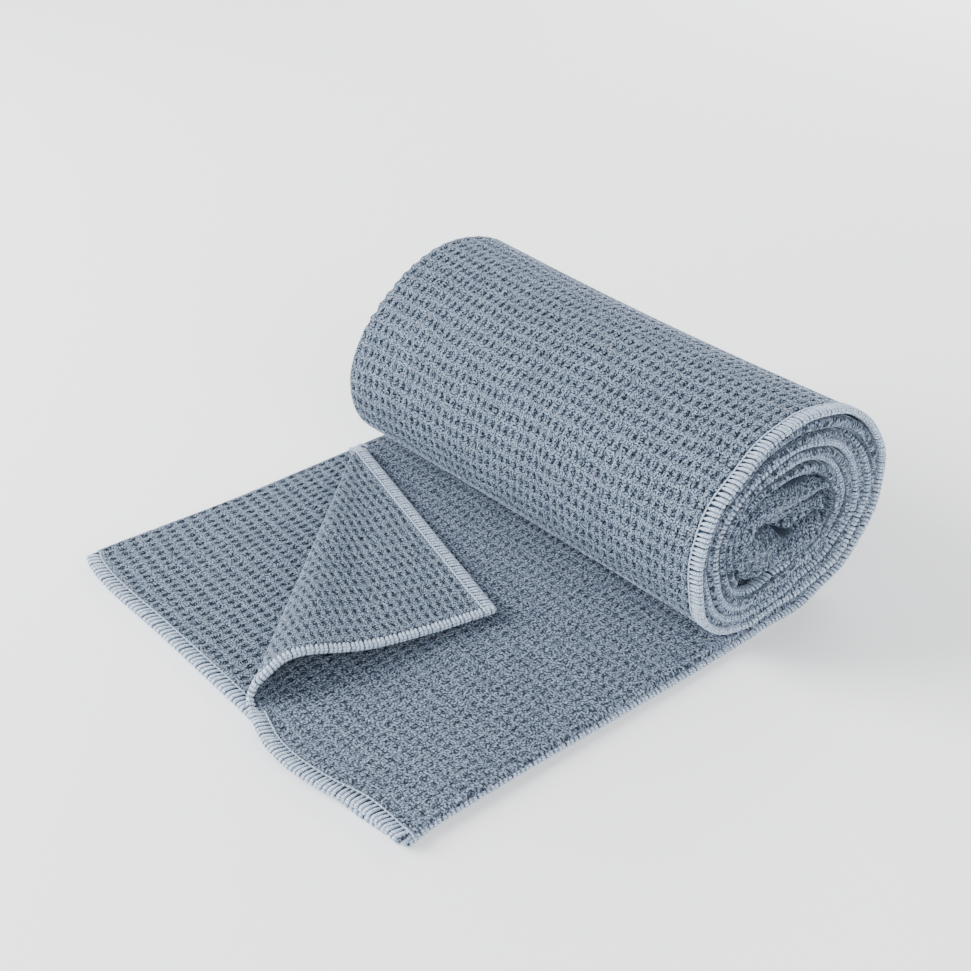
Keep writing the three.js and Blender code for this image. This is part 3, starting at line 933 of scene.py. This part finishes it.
    def stations(self, first: float, last: float, step: float) -> dict[str, np.ndarray]:
        """The band at places along its length.

        Args:
            first: the first place, in millimetres from where the tail hands over.
            last: the last place.
            step: the spacing.

        Returns:
            For each end its line, out directions and spacing of layers, and the turn, ends and places.
        """
        run = np.linspace(first, last, max(2, round((last - first) / step) + 1))
        turn = np.interp(run, self.run, self.turn)
        direction = 360 * (turn - np.floor(turn))
        cored = np.interp(run, self.run, self.cored)
        in_core = smoothstep(cored, 0, 0.05)
        found: dict[str, Any] = {"run": run, "turn": turn}
        for end in End:
            line = np.stack([np.interp(run, self.run, self.lines[end][:, k]) for k in (0, 1)], -1)
            ahead = np.stack([np.interp(run + 1.0, self.run, self.lines[end][:, k]) for k in (0, 1)], -1)
            behind = np.stack([np.interp(run - 1.0, self.run, self.lines[end][:, k]) for k in (0, 1)], -1)
            along = unit(ahead - behind)
            step_here = self.turns.read(end.value + "_step", direction)
            spacing = np.clip((step_here - self.between_turns) / 2, self.least_spacing, self.most_spacing)
            spacing = lerp(self.cloth.spacing, spacing, smoothstep(run, 0, 14))
            found[end.value] = line
            found[end.value + "_out"] = np.stack([along[:, 1], -along[:, 0]], -1)
            if end is End.RIGHT:
                spacing = spacing * self.drawn_in.read("puff", turn)
            found[end.value + "_spacing"] = lerp(spacing, self.core_spacing, in_core)
        recess = lerp(self.recess_per_turn * turn, self.core_recess, in_core)
        uneven = ripples(self.uneven, run, 0.0) * smoothstep(run, 0, 30)
        inset = self.turns.read("inset", direction)
        settled = smoothstep(run, 0, 40)
        found["from"] = lerp(self.tail_left, inset + recess + 0.5 * uneven, settled)
        to = lerp(self.tail_right, self.folded_width - recess + uneven, settled)
        found["to"] = to - self.drawn_in.read("fold", turn)
        found["free"] = to + self.free_edge - self.drawn_in.read("edge", turn)
        return found

    def point(self, at: dict[str, np.ndarray], x: np.ndarray, depth: np.ndarray) -> np.ndarray:
        """Points of the band.

        Args:
            at: the stations.
            x: along the roll, stations by columns.
            depth: under the band's outer face, as a share of the layers' spacing after the outer layer.

        Returns:
            The points, stations by columns.
        """
        share = (x - at["from"][:, None]) / (at["to"] - at["from"])[:, None]

        def mix(name: str) -> np.ndarray:
            """Mixes the two ends' values by each point's share of the way between them.

            Args:
                name: what comes after the end's name in the stations.

            Returns:
                The values, stations by columns.
            """
            left, right = at["left" + name], at["right" + name]
            if left.ndim == 1:
                return lerp(left[:, None], right[:, None], share)
            return lerp(left[:, None, :], right[:, None, :], share[..., None])

        line, out = mix(""), mix("_out")
        height = np.clip((line[..., 1] - self.band) / self.middle[End.RIGHT][1], 0, 1)
        dip = self.sag * np.sin(np.pi * np.clip(share, 0, 1)) * height
        under = self.outer_depth + depth * mix("_spacing")
        reach = self.band / 2 - under - dip
        yz = line + out * reach[..., None]
        return np.concatenate([x[..., None], yz], -1)

    def outer_layer(self, first: float, last: float, down_step: float, across_step: float) -> Drape:
        """The outer layer and the left fold, down a stretch of the band.

        Args:
            first: where the stretch starts, from where the tail hands over.
            last: where it ends.
            down_step: the spacing of its rows.
            across_step: the spacing of its columns; where it is coarse, they stand closer near both ends.

        Returns:
            The drape.
        """
        at = self.stations(first, last, down_step)
        half = self.cloth.spacing / 2
        outside, inside = at["free"], at["from"] + half
        shares = spread(self.folded_width, across_step)
        flat_x = lerp(outside[:, None], inside[:, None], shares[None])
        flat_depth = np.zeros_like(flat_x)
        angle = np.pi * np.arange(1, 7) / 6
        fold_x = inside[:, None] - half * np.sin(angle)[None]
        fold_depth = np.broadcast_to((1 - np.cos(angle)) / 2, fold_x.shape)
        points = self.point(at, np.concatenate([flat_x, fold_x], 1),
                            np.concatenate([flat_depth, fold_depth], 1))
        across = np.concatenate([outside[:, None] - flat_x,
                                 (outside - inside)[:, None] + half * angle[None]], 1)
        return self.drape(at, points, across, across)

    def inner_layers(self, first: float, last: float, down_step: float, across_step: float) -> Drape:
        """The middle layer, the right fold and the inner layer, down a stretch of the band.

        Args:
            first: where the stretch starts, from where the tail hands over.
            last: where it ends.
            down_step: the spacing of its rows.
            across_step: the spacing of its columns.

        Returns:
            The drape.
        """
        at = self.stations(first, last, down_step)
        half = self.cloth.spacing / 2
        left, right = at["from"] + half, at["to"] - half
        shares = spread(self.folded_width, across_step)
        middle_x = lerp(left[:, None], right[:, None], shares[None])
        angle = np.pi * np.arange(1, 6) / 6
        fold_x = right[:, None] + half * 1.15 * np.sin(angle)[None]
        top_x = lerp(right[:, None], (at["from"] + self.top_edge)[:, None], shares[None])
        x = np.concatenate([middle_x, fold_x, top_x], 1)
        depth = np.concatenate([np.ones_like(middle_x),
                                np.broadcast_to(1 + (1 - np.cos(angle)) / 2, fold_x.shape),
                                np.full_like(top_x, 2.0)], 1)
        points = self.point(at, x, depth)
        top_from_edge = top_x - (at["from"] + self.top_edge)[:, None]
        from_edge = np.concatenate([3 * self.folded_width - middle_x,
                                    np.full_like(fold_x, 2 * self.folded_width), top_from_edge], 1)
        fold_across = np.broadcast_to(2 * self.folded_width + half * angle, fold_x.shape)
        across = np.concatenate([self.folded_width + middle_x - left[:, None], fold_across,
                                 3 * self.folded_width - top_from_edge], 1)
        return self.drape(at, points, across, from_edge)

    def drape(self, at: dict[str, np.ndarray], points: np.ndarray, across: np.ndarray,
              edge: np.ndarray) -> Drape:
        """Drape of the band's points, its rows counted on from the tail's.

        Args:
            at: the stations.
            points: the points.
            across: each point's place across the cut cloth.
            edge: each point's distance from the stitched edge.

        Returns:
            The drape.
        """
        down = self.first_down + at["run"]
        flat = np.stack(np.broadcast_arrays(across, down[:, None]), -1)
        return Drape(points, flat, edge)


def spread(width: float, step: float) -> np.ndarray:
    """Shares of a width at which its columns stand.

    Args:
        width: the whole width.
        step: the columns' spacing; where it is coarse, they stand closer within 14 mm of both ends.

    Returns:
        The shares, from 0 to 1.
    """
    if step < 2:
        return np.linspace(0, 1, round(width / step) + 1)
    near = np.array([0, 1.2, 2.6, 4.4, 6.5, 9.5, 14.0]) / width
    inner = np.linspace(near[-1], 1 - near[-1], round(width / step))[1:-1]
    return np.concatenate([near, inner, 1 - near[::-1]])


@dataclass
class CoreFolds:
    """The crumpled middle of the roll's right end: the innermost cloth, pushed into soft folds."""
    grain: float = 0.56           # spacing of its points
    floor: float = 187.0          # x of the deepest hollows
    steep: float = 2.8            # how square the folds' sides are
    middle: tuple[float, float] = (182.5, 45.0)
    outline: Table = field(default_factory=lambda: Table("direction radius", [
        (0, 28.2), (30, 28.6), (60, 24.4), (90, 21.2), (120, 24.0), (150, 29.0), (180, 30.5), (210, 29.5),
        (240, 23.4), (270, 20.6), (300, 23.4), (330, 28.2), (360, 28.2)]))
    folds: dict = field(default_factory=lambda: {   # y, z and half width along each fold, and its top's x
        "long upper fold": ([(159.5, 43, 3.2), (163, 51, 4.4), (170, 55.5, 5.2), (182, 56.2, 5.4),
                             (195, 54.6, 4.4), (204, 52.8, 3.4), (209, 51.6, 2.6)], 202.9),
        "left side": ([(156.6, 52, 2.2), (157.6, 44, 2.6), (161, 36, 2.6), (166, 28.6, 2.4),
                       (169, 26.6, 2.0)], 200.6),
        "inner left side": ([(163, 42, 2.0), (165, 35, 2.2), (169, 28.6, 2.0)], 199.6),
        "great lower fold": ([(166.5, 38, 6.8), (174, 32.5, 8.2), (187, 28.8, 7.4), (200, 30, 7.4),
                              (207, 33, 6.0)], 202.2),
        "wedge": ([(172, 45.6, 3.0), (181, 45.8, 4.2), (190, 46.4, 3.8), (195, 47.5, 2.0)], 197.4),
        "small right fold": ([(190.5, 38.6, 1.8), (194.5, 42.4, 3.0), (201, 44.6, 4.0),
                              (207.5, 44.6, 3.8), (209.4, 40.0, 2.6)], 200.4),
        "top": ([(157, 57.5, 2.4), (164, 62.6, 2.8), (174, 65.0, 3.0), (187, 64.6, 3.0),
                 (198, 62.2, 3.0), (207, 58.0, 2.8), (211, 52.5, 2.4)], 200.8),
        "right side": ([(209.6, 52, 2.2), (209.6, 44, 2.4), (208.4, 36, 2.4), (204, 29, 2.2)], 201.4),
        "lower rim": ([(170, 27, 1.8), (180, 26.6, 2.0), (192, 26.6, 2.0), (202, 28.4, 1.8)], 200.8),
    })
    dents: list = field(default_factory=lambda: [   # y, z, half lengths, angle in degrees, and depth
        (188.5, 60.8, 8.0, 1.7, -8, 9.0), (203.0, 49.0, 5.6, 2.7, -14, 14.0),
        (175.0, 44.2, 9.0, 1.9, -30, 10.0),
        (191.5, 36.4, 3.8, 2.3, 15, 9.0), (200.5, 39.8, 7.5, 1.6, -5, 8.0), (165.0, 61.0, 6.0, 2.2, 25, 9.0),
        (153.4, 46.0, 2.6, 10.0, 6, 8.0), (176.0, 31.0, 4.5, 2.2, 35, 2.2), (186.0, 33.5, 3.4, 1.8, -20, 1.5),
        (184.0, 50.2, 16.0, 1.5, 2, 8.0), (204.5, 57.0, 5.0, 1.3, -25, 6.0),
    ])
    crest: float = 201.0          # x of the folds' tops on the whole
    side_share: float = 0.8       # of the cloth's rows that run on down the folds' sides
    first_down: float = 800.0     # how far down the cut cloth the core lies
    far_from_edge: float = 99.0   # so far from its stitched edges that they don't show
    shade: tuple[float, float] = (4.5, 12.0)     # below the crests, where the painted shade of the hollows starts and ends
    deepest_shade: float = 0.3    # how dark that painted shade gets there, 1 for as dark as the painted shade between the edge threads
    dark_dent: float = 9.0        # depth from which a dent's painted shade is as dark as that
    fall: float = 1.3             # how far a fold falls over its half width
    level: float = 200.0          # x from which the folds' tops are counted where they merge
    merge: float = 4.0            # how sharply they merge
    crinkle: tuple[float, float] = (0.22, 0.2)   # height of the small crinkles on the folds, of two kinds

    def pressed(self, y: np.ndarray, z: np.ndarray) -> list[tuple[np.ndarray, float]]:
        """How far each dent reaches at the given places.

        Args:
            y: the places' y.
            z: their z.

        Returns:
            For each dent its share of its full depth at each place, and that depth.
        """
        found = []
        for y0, z0, long, wide, angle, depth in self.dents:
            turn = math.radians(angle)
            u = (y - y0) * math.cos(turn) + (z - z0) * math.sin(turn)
            v = (z - z0) * math.cos(turn) - (y - y0) * math.sin(turn)
            found.append((np.exp(-(u / long) ** 4 - (v / wide) ** 2), depth))
        return found

    def relief(self, y: np.ndarray, z: np.ndarray) -> np.ndarray:
        """How far the folds reach along the roll.

        Args:
            y: the places' y.
            z: their z.

        Returns:
            The folds' x at each place.
        """
        heights = []
        for line, top in self.folds.values():
            best = np.full(y.shape, 9.0)
            for (y0, z0, r0), (y1, z1, r1) in zip(line, line[1:]):
                dy, dz = y1 - y0, z1 - z0
                share = np.clip(((y - y0) * dy + (z - z0) * dz) / (dy * dy + dz * dz), 0, 1)
                away = np.hypot(y - y0 - share * dy, z - z0 - share * dz) / lerp(r0, r1, share)
                best = np.minimum(best, away)
            width = np.mean([r for _, _, r in line])
            heights.append(top - self.fall * width * best ** self.steep)
        merged = sum(np.exp(self.merge * np.clip(h - self.level, -30, 5)) for h in heights)
        x = np.log(merged) / self.merge + self.level
        for pressed, depth in self.pressed(y, z):
            x = x - depth * pressed
        x = x + self.crinkle[0] * np.sin(y / 2.3 + z / 3.1) * np.sin(z / 1.9 - y / 4.7)
        x = x + self.crinkle[1] * np.sin(y / 5.3 + 1) * np.sin(z / 4.1)
        return np.maximum(x, self.floor + 0.1 * (x - self.floor))

    def drape(self) -> Drape:
        """How the core's cloth lies.

        Returns:
            The drape, with its plain face out of the roll's end.
        """
        steps = round(52 / self.grain)
        u, v = np.meshgrid(np.linspace(-1, 1, round(steps * 1.25)), np.linspace(1, -1, steps))
        disc_y, disc_z = u * np.sqrt(1 - v * v / 2), v * np.sqrt(1 - u * u / 2)
        direction = np.degrees(np.arctan2(disc_z, disc_y)) % 360
        radius = self.outline.read("radius", direction) * np.hypot(disc_y, disc_z)
        y = self.middle[0] + radius * np.cos(np.radians(direction))
        z = self.middle[1] + radius * np.sin(np.radians(direction))
        rim = smoothstep(np.hypot(disc_y, disc_z), 0.9, 1.0)
        x = lerp(self.relief(y, z), self.floor - 2, rim)
        points = np.stack([x, y, z], -1)
        # Painted shade in the deep hollows and in the dents
        shaded = self.deepest_shade * smoothstep(self.crest - x, *self.shade)
        for pressed, depth in self.pressed(y, z):
            shaded = np.maximum(shaded, min(depth / self.dark_dent, 1.0) * smoothstep(pressed, 0.08, 0.36))
        along = self.side_share * (x - self.crest)
        flat = np.stack([y + along, self.first_down - z + along], -1)
        return Drape(points, flat, np.full(y.shape, self.far_from_edge), shaded)


# Edge stitching

@dataclass
class Overlock:
    """The overlocked edge: threads wrapped round the cloth's edge, a chain of loops on their inner ends."""
    cloth: WaffleCloth
    thread: bpy.types.Material
    half_width: float = 0.47      # of a wrap where it goes round the edge, as a share of the pitch
    half_height: float = 0.46     # of a wrap, out of the cloth
    reach: float = 4.2            # from the cloth's edge to the wraps' inner ends
    pitch: float = 1.9            # from one wrap to the next
    slant: float = 0.9            # how far a wrap moves along the edge over its reach
    chain_size: tuple[float, float] = (0.38, 0.36)
    sides: int = 6
    path: Table = field(default_factory=lambda: Table("point inward rise slant scale", [
        (0, 1.02, 0.35, 1.0, 0.42), (1, 0.94, 0.88, 0.9, 0.5), (2, 0.74, 1.10, 0.66, 0.78),
        (3, 0.46, 1.18, 0.34, 0.97), (4, 0.08, 1.10, 0.06, 1.0), (5, -0.09, 0.72, 0.0, 1.0),
        (6, -0.15, 0.0, -0.05, 1.0), (7, -0.09, -0.72, -0.1, 1.0), (8, 0.08, -1.10, -0.15, 1.0),
        (9, 0.5, -1.14, -0.5, 0.95), (10, 0.94, -0.88, -0.9, 0.5), (11, 1.02, -0.35, -1.0, 0.42)]))

    def wraps(self, border: Border) -> tuple[np.ndarray, np.ndarray]:
        """Threads wrapped round the edge.

        Args:
            border: the edge.

        Returns:
            Middle points and side directions of every wrap.
        """
        count = max(1, int(border.length() / self.pitch))
        number = np.arange(count)
        jitter = 0.07 * np.sin(number * 2.39 + 0.7) + 0.05 * np.sin(number * 0.83)
        base, inward, out, along = border.at((number + 0.5 + jitter) * border.length() / count)
        rise = self.cloth.layer / 2 * self.cloth.hem_thickness + self.half_height * 0.7
        reach = self.reach * (1 + 0.04 * np.sin(number * 1.7) + 0.03 * np.sin(number * 0.31))
        path = self.path.columns
        middle = np.stack([
            base + inward * (q * reach)[:, None] + out * (h * rise) + along * (s * self.slant)
            for q, h, s in zip(path["inward"], path["rise"], path["slant"])], 1)
        return middle, np.broadcast_to(along[:, None, :], middle.shape)

    def chain(self, border: Border, face: int) -> np.ndarray:
        """Middle line of the chain of loops on the wraps' inner ends.

        Args:
            border: the edge.
            face: 1 on the waffle face and -1 on the plain face.

        Returns:
            The line's points.
        """
        count = max(1, int(border.length() / self.pitch))
        steps = count * 6
        base, inward, out, _ = border.at(np.linspace(0, border.length(), steps + 1))
        swing = np.cos(np.arange(steps + 1) / 6 * math.tau)
        rise = self.cloth.layer / 2 + 0.25 + 0.2 * swing
        return base + inward * (self.reach + 0.42 - 0.22 * swing)[:, None] + out * (face * rise)[:, None]

    def tube(self, middle: np.ndarray, side: np.ndarray, size: Sequence[float],
             scale: np.ndarray) -> tuple[np.ndarray, list, np.ndarray]:
        """Oval tubes along lines of points.

        Args:
            middle: the lines, tubes by points.
            side: the direction of the oval's width at each point.
            size: half the width and half the height.
            scale: by how much the width is scaled at each point along a tube.

        Returns:
            The points, the faces, and the strand attribute.
        """
        tubes, count = middle.shape[:2]
        tangent = unit(np.gradient(middle, axis=1))
        wide = unit(side - (side * tangent).sum(-1, keepdims=True) * tangent)
        high = np.cross(tangent, wide)
        angle = math.tau * np.arange(self.sides) / self.sides
        ring = (wide[:, :, None] * (np.cos(angle) * size[0])[None, None, :, None] * scale[None, :, None, None]
                + high[:, :, None] * (np.sin(angle) * size[1])[None, None, :, None])
        points = middle[:, :, None] + ring
        numbers = np.arange(points[..., 0].size).reshape(tubes, count, self.sides)
        wrapped = np.concatenate([numbers, numbers[:, :, :1]], 2)
        quads = np.stack([wrapped[:, :-1, :-1], wrapped[:, :-1, 1:],
                          wrapped[:, 1:, 1:], wrapped[:, 1:, :-1]], -1)
        run = np.concatenate([np.zeros((tubes, 1)), np.cumsum(
            np.linalg.norm(np.diff(middle, axis=1), axis=-1), axis=1)], 1)
        strand = np.stack(np.broadcast_arrays(run[:, :, None], np.cos(angle)[None, None, :],
                                              np.arange(tubes)[:, None, None] * 3.1), -1)
        ends = [list(map(int, numbers[t, e][::(-1 if e else 1)])) for t in range(tubes) for e in (0, -1)]
        return points.reshape(-1, 3), [*quads.reshape(-1, 4).tolist(), *ends], strand.reshape(-1, 3)

    def sew(self, name: str, border: Border, chains: Sequence[int]) -> bpy.types.Object:
        """Stitches one edge.

        Args:
            name: the piece's name.
            border: the edge.
            chains: the faces that show a chain, 1 for the waffle face and -1 for the plain face.

        Returns:
            The piece.
        """
        size = (self.half_width * self.pitch, self.half_height)
        parts = [self.tube(*self.wraps(border), size, self.path.columns["scale"])]
        for face in chains:
            line = self.chain(border, face)[None]
            _, _, out, _ = border.at(np.linspace(0, border.length(), line.shape[1]))
            side = np.cross(unit(np.gradient(line, axis=1)), out[None])
            parts.append(self.tube(line, side, self.chain_size, np.ones(line.shape[1])))
        points, faces, strands, base = [], [], [], 0
        for part_points, part_faces, strand in parts:
            points.append(part_points)
            faces += [[i + base for i in face] for face in part_faces]
            strands.append(strand)
            base += len(part_points)
        piece = make_piece(name, np.concatenate(points), faces, [self.thread], None, "strand",
                           np.concatenate(strands))
        return piece


# Studio

@dataclass
class Studio:
    """The pale floor, the soft lights and the camera."""
    target: tuple[float, float, float] = (-9.23, 13.12, 30.0)
    distance: float = 603.15
    azimuth: float = 48.23
    elevation: float = 32.71
    roll: float = 1.45
    lens: float = 55.69           # for a 36 mm wide sensor
    floor_reach: float = 3.0      # metres from the middle of the floor to its sides
    sky: str = "F7F9FC"           # sRGB of the background
    sky_strength: float = 0.85
    # Each light's azimuth and elevation in degrees, distance and width in metres, and power in watts
    lights: dict = field(default_factory=lambda: {
        "key": (-45, 27, 1.6, 0.9, 80), "fill": (74, 26, 1.8, 1.6, 42), "rim": (195, 22, 1.6, 1.0, 34)})

    def back(self, azimuth: float, elevation: float) -> Vector:
        """Direction from the target towards something at that azimuth and elevation, in degrees."""
        a, e = math.radians(azimuth), math.radians(elevation)
        return Vector((math.sin(a) * math.cos(e), -math.cos(a) * math.cos(e), math.sin(e)))

    def place_camera(self) -> None:
        """Puts the camera at the photograph's angle."""
        back = self.back(self.azimuth, self.elevation)
        right = (-back).cross(Vector((0, 0, 1))).normalized()
        up = right.cross(-back)
        r = math.radians(self.roll)
        right, up = right * math.cos(r) + up * math.sin(r), up * math.cos(r) - right * math.sin(r)
        place = (Vector(self.target) + back * self.distance) * MM
        data = bpy.data.cameras.new("camera")
        data.sensor_width, data.lens, data.clip_start, data.clip_end = 36.0, self.lens, 0.01, 50.0
        camera = bpy.data.objects.new("camera", data)
        turn = Matrix((right, up, back)).transposed()
        camera.matrix_world = Matrix.Translation(place) @ turn.to_4x4()
        bpy.context.scene.collection.objects.link(camera)
        bpy.context.scene.camera = camera

    def light(self, name: str, azimuth: float, elevation: float, away: float, size: float,
              power: float) -> None:
        """Adds a soft square light that points at the towel.

        Args:
            name: the light's name.
            azimuth: its direction, in degrees.
            elevation: its height, in degrees.
            away: its distance in metres.
            size: its width in metres.
            power: its power in watts.
        """
        data = bpy.data.lights.new(name, "AREA")
        data.shape, data.size, data.energy = "SQUARE", size, power
        lamp = bpy.data.objects.new(name, data)
        back = self.back(azimuth, elevation)
        lamp.location = back * away
        lamp.rotation_euler = back.to_track_quat("Z", "Y").to_euler()
        bpy.context.scene.collection.objects.link(lamp)

    def set_up(self) -> None:
        """Adds the floor, the background, the lights and the camera."""
        size = self.floor_reach
        mesh = bpy.data.meshes.new("floor")
        mesh.from_pydata([(-size, -size, 0), (size, -size, 0), (size, size, 0), (-size, size, 0)], [],
                         [(0, 1, 2, 3)])
        mesh.materials.append(MattPaper().build())
        floor = bpy.data.objects.new("floor", mesh)
        bpy.context.scene.collection.objects.link(floor)
        floor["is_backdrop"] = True
        world = bpy.data.worlds.new("studio")
        world.use_nodes = True
        sky = world.node_tree.nodes["Background"].inputs
        sky["Color"].default_value, sky["Strength"].default_value = linear(self.sky), self.sky_strength
        bpy.context.scene.world = world
        for name, settings in self.lights.items():
            self.light(name, *settings)
        self.place_camera()


@dataclass
class Towel:
    """The whole towel: its tail, its roll and its overlocked edges."""
    cloth: WaffleCloth = field(default_factory=WaffleCloth)
    outer_turn: float = 360.0     # of the band, from the tail to where it goes inside the roll
    waffle_grain: tuple[float, float] = (1.25, 0.76)   # spacing of the outer turn's points, down and across
    coarse: tuple[float, float] = (2.4, 18.0)          # the same for the turns inside
    hem_pitch: float = 2.35       # of the wraps on the hem that shows at the tail's left

    def finishes(self) -> Tailor:
        """Makes the cloth's two finishes.

        Returns:
            A tailor who uses them.
        """
        waffle = LoopedMicrofibre("waffle_knit_microfibre", high="A6B5C8", middle="5D6D82", deep="131B26",
                                  pit_shade=0.66, pit_bump=0.9, loop_bump=0.34)
        plain = LoopedMicrofibre("looped_plain_microfibre", high="929EB0", middle="4F5B6D", deep="131A23",
                                 pit_shade=0.32, pit_bump=0.7, loop_bump=0.28, fibre=0.78, fleck=2.7)
        return Tailor(self.cloth, waffle.build(), plain.build())

    def build(self) -> None:
        """Makes every piece of the towel."""
        tailor = self.finishes()
        thread = SpunPolyester().build()
        tail, winding = FlatTail(self.cloth), Winding(self.cloth)
        overlock = Overlock(self.cloth, thread)
        beaded = Overlock(self.cloth, thread, half_width=0.45, half_height=0.52, reach=3.9)
        cord = Overlock(self.cloth, thread, half_width=0.52, half_height=0.5, reach=2.6, pitch=1.7, slant=0.6)

        lower, lower_back = tail.lower_layers()
        lower_piece = tailor.make("tail_lower_layers", lower, lower_back)
        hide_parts("towel")
        wide = Overlock(self.cloth, thread, pitch=self.hem_pitch, slant=1.1)
        fold = tail.bottom_steps
        bottom_hem = wide.sew("tail_bottom_hem_stitches", lower.border("hem").part(0, fold), (1, -1))
        past_fold = fold + tail.fold_steps - 1
        middle_hem = wide.sew("tail_middle_hem_stitches", lower.border("hem").part(past_fold, None), (1, -1))
        bottom_edge = overlock.sew("tail_bottom_edge_stitches", lower.border("first"), (1, -1))

        top, top_back = tail.top_layer()
        top_piece = tailor.make("tail_top_layer", top, top_back)
        over = top.points.shape[1] - round(tail.wholly_over / tail.grain) - 4
        top_hem = overlock.sew("tail_top_hem_stitches", top.border("hem").part(0, over + 1), (1, -1))
        turned_hem = cord.sew("tail_turned_hem_stitches", top.border("hem").part(over, None), ())
        to_tip = round(tail.tip_from_hem / tail.grain) + 2
        top_edge = beaded.sew("tail_turned_edge_stitches", top.border("last").part(0, to_tip), (1, -1))

        end = float(winding.run[-1])
        outer = winding.outer_layer(0, self.outer_turn, *self.waffle_grain)
        columns = outer.points.shape[1]
        back = sorted({0, *range(0, columns - 7, 6), *range(columns - 7, columns)})
        outer_piece = tailor.make("roll_outer_turn", outer, back)
        outer_edge = beaded.sew("roll_outer_edge_stitches", outer.border("first"), (1, -1))

        deep = winding.outer_layer(self.outer_turn, end, *self.coarse)
        deep_piece = tailor.make("roll_outer_layer_inside", deep, list(range(deep.points.shape[1])))
        # A copy of the thread with darker colours, painted shade, for the edges inside the roll
        shaded_thread = SpunPolyester("spun_polyester_thread_inside_shaded", lit="A9B7CA", shadow="526379").build()
        inside = Overlock(self.cloth, shaded_thread, half_width=0.44, half_height=0.52, reach=3.6)
        deep_edge = inside.sew("roll_inside_edge_stitches", deep.border("first"), ())

        inner = winding.inner_layers(0, end, *self.coarse)
        inner_piece = tailor.make("roll_inner_layers", inner, list(range(inner.points.shape[1])))
        inner_edge = wide.sew("roll_left_edge_stitches", inner.border("last"), ())

        core = CoreFolds().drape()
        core_piece = tailor.make("roll_core_folds", core, list(range(core.points.shape[1])))


def main() -> None:
    """Builds the towel and the studio, and reports each piece."""
    logging.basicConfig(level=logging.INFO, format="%(message)s")
    Towel().build()
    Studio().set_up()
    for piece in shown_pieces():
        if piece.type == "MESH" and not piece.hide_render:
            triangles = sum(len(face.vertices) - 2 for face in piece.data.polygons)
            log.info("%s: %d triangles", piece.name, triangles)


if __name__ == "__main__":
    main()
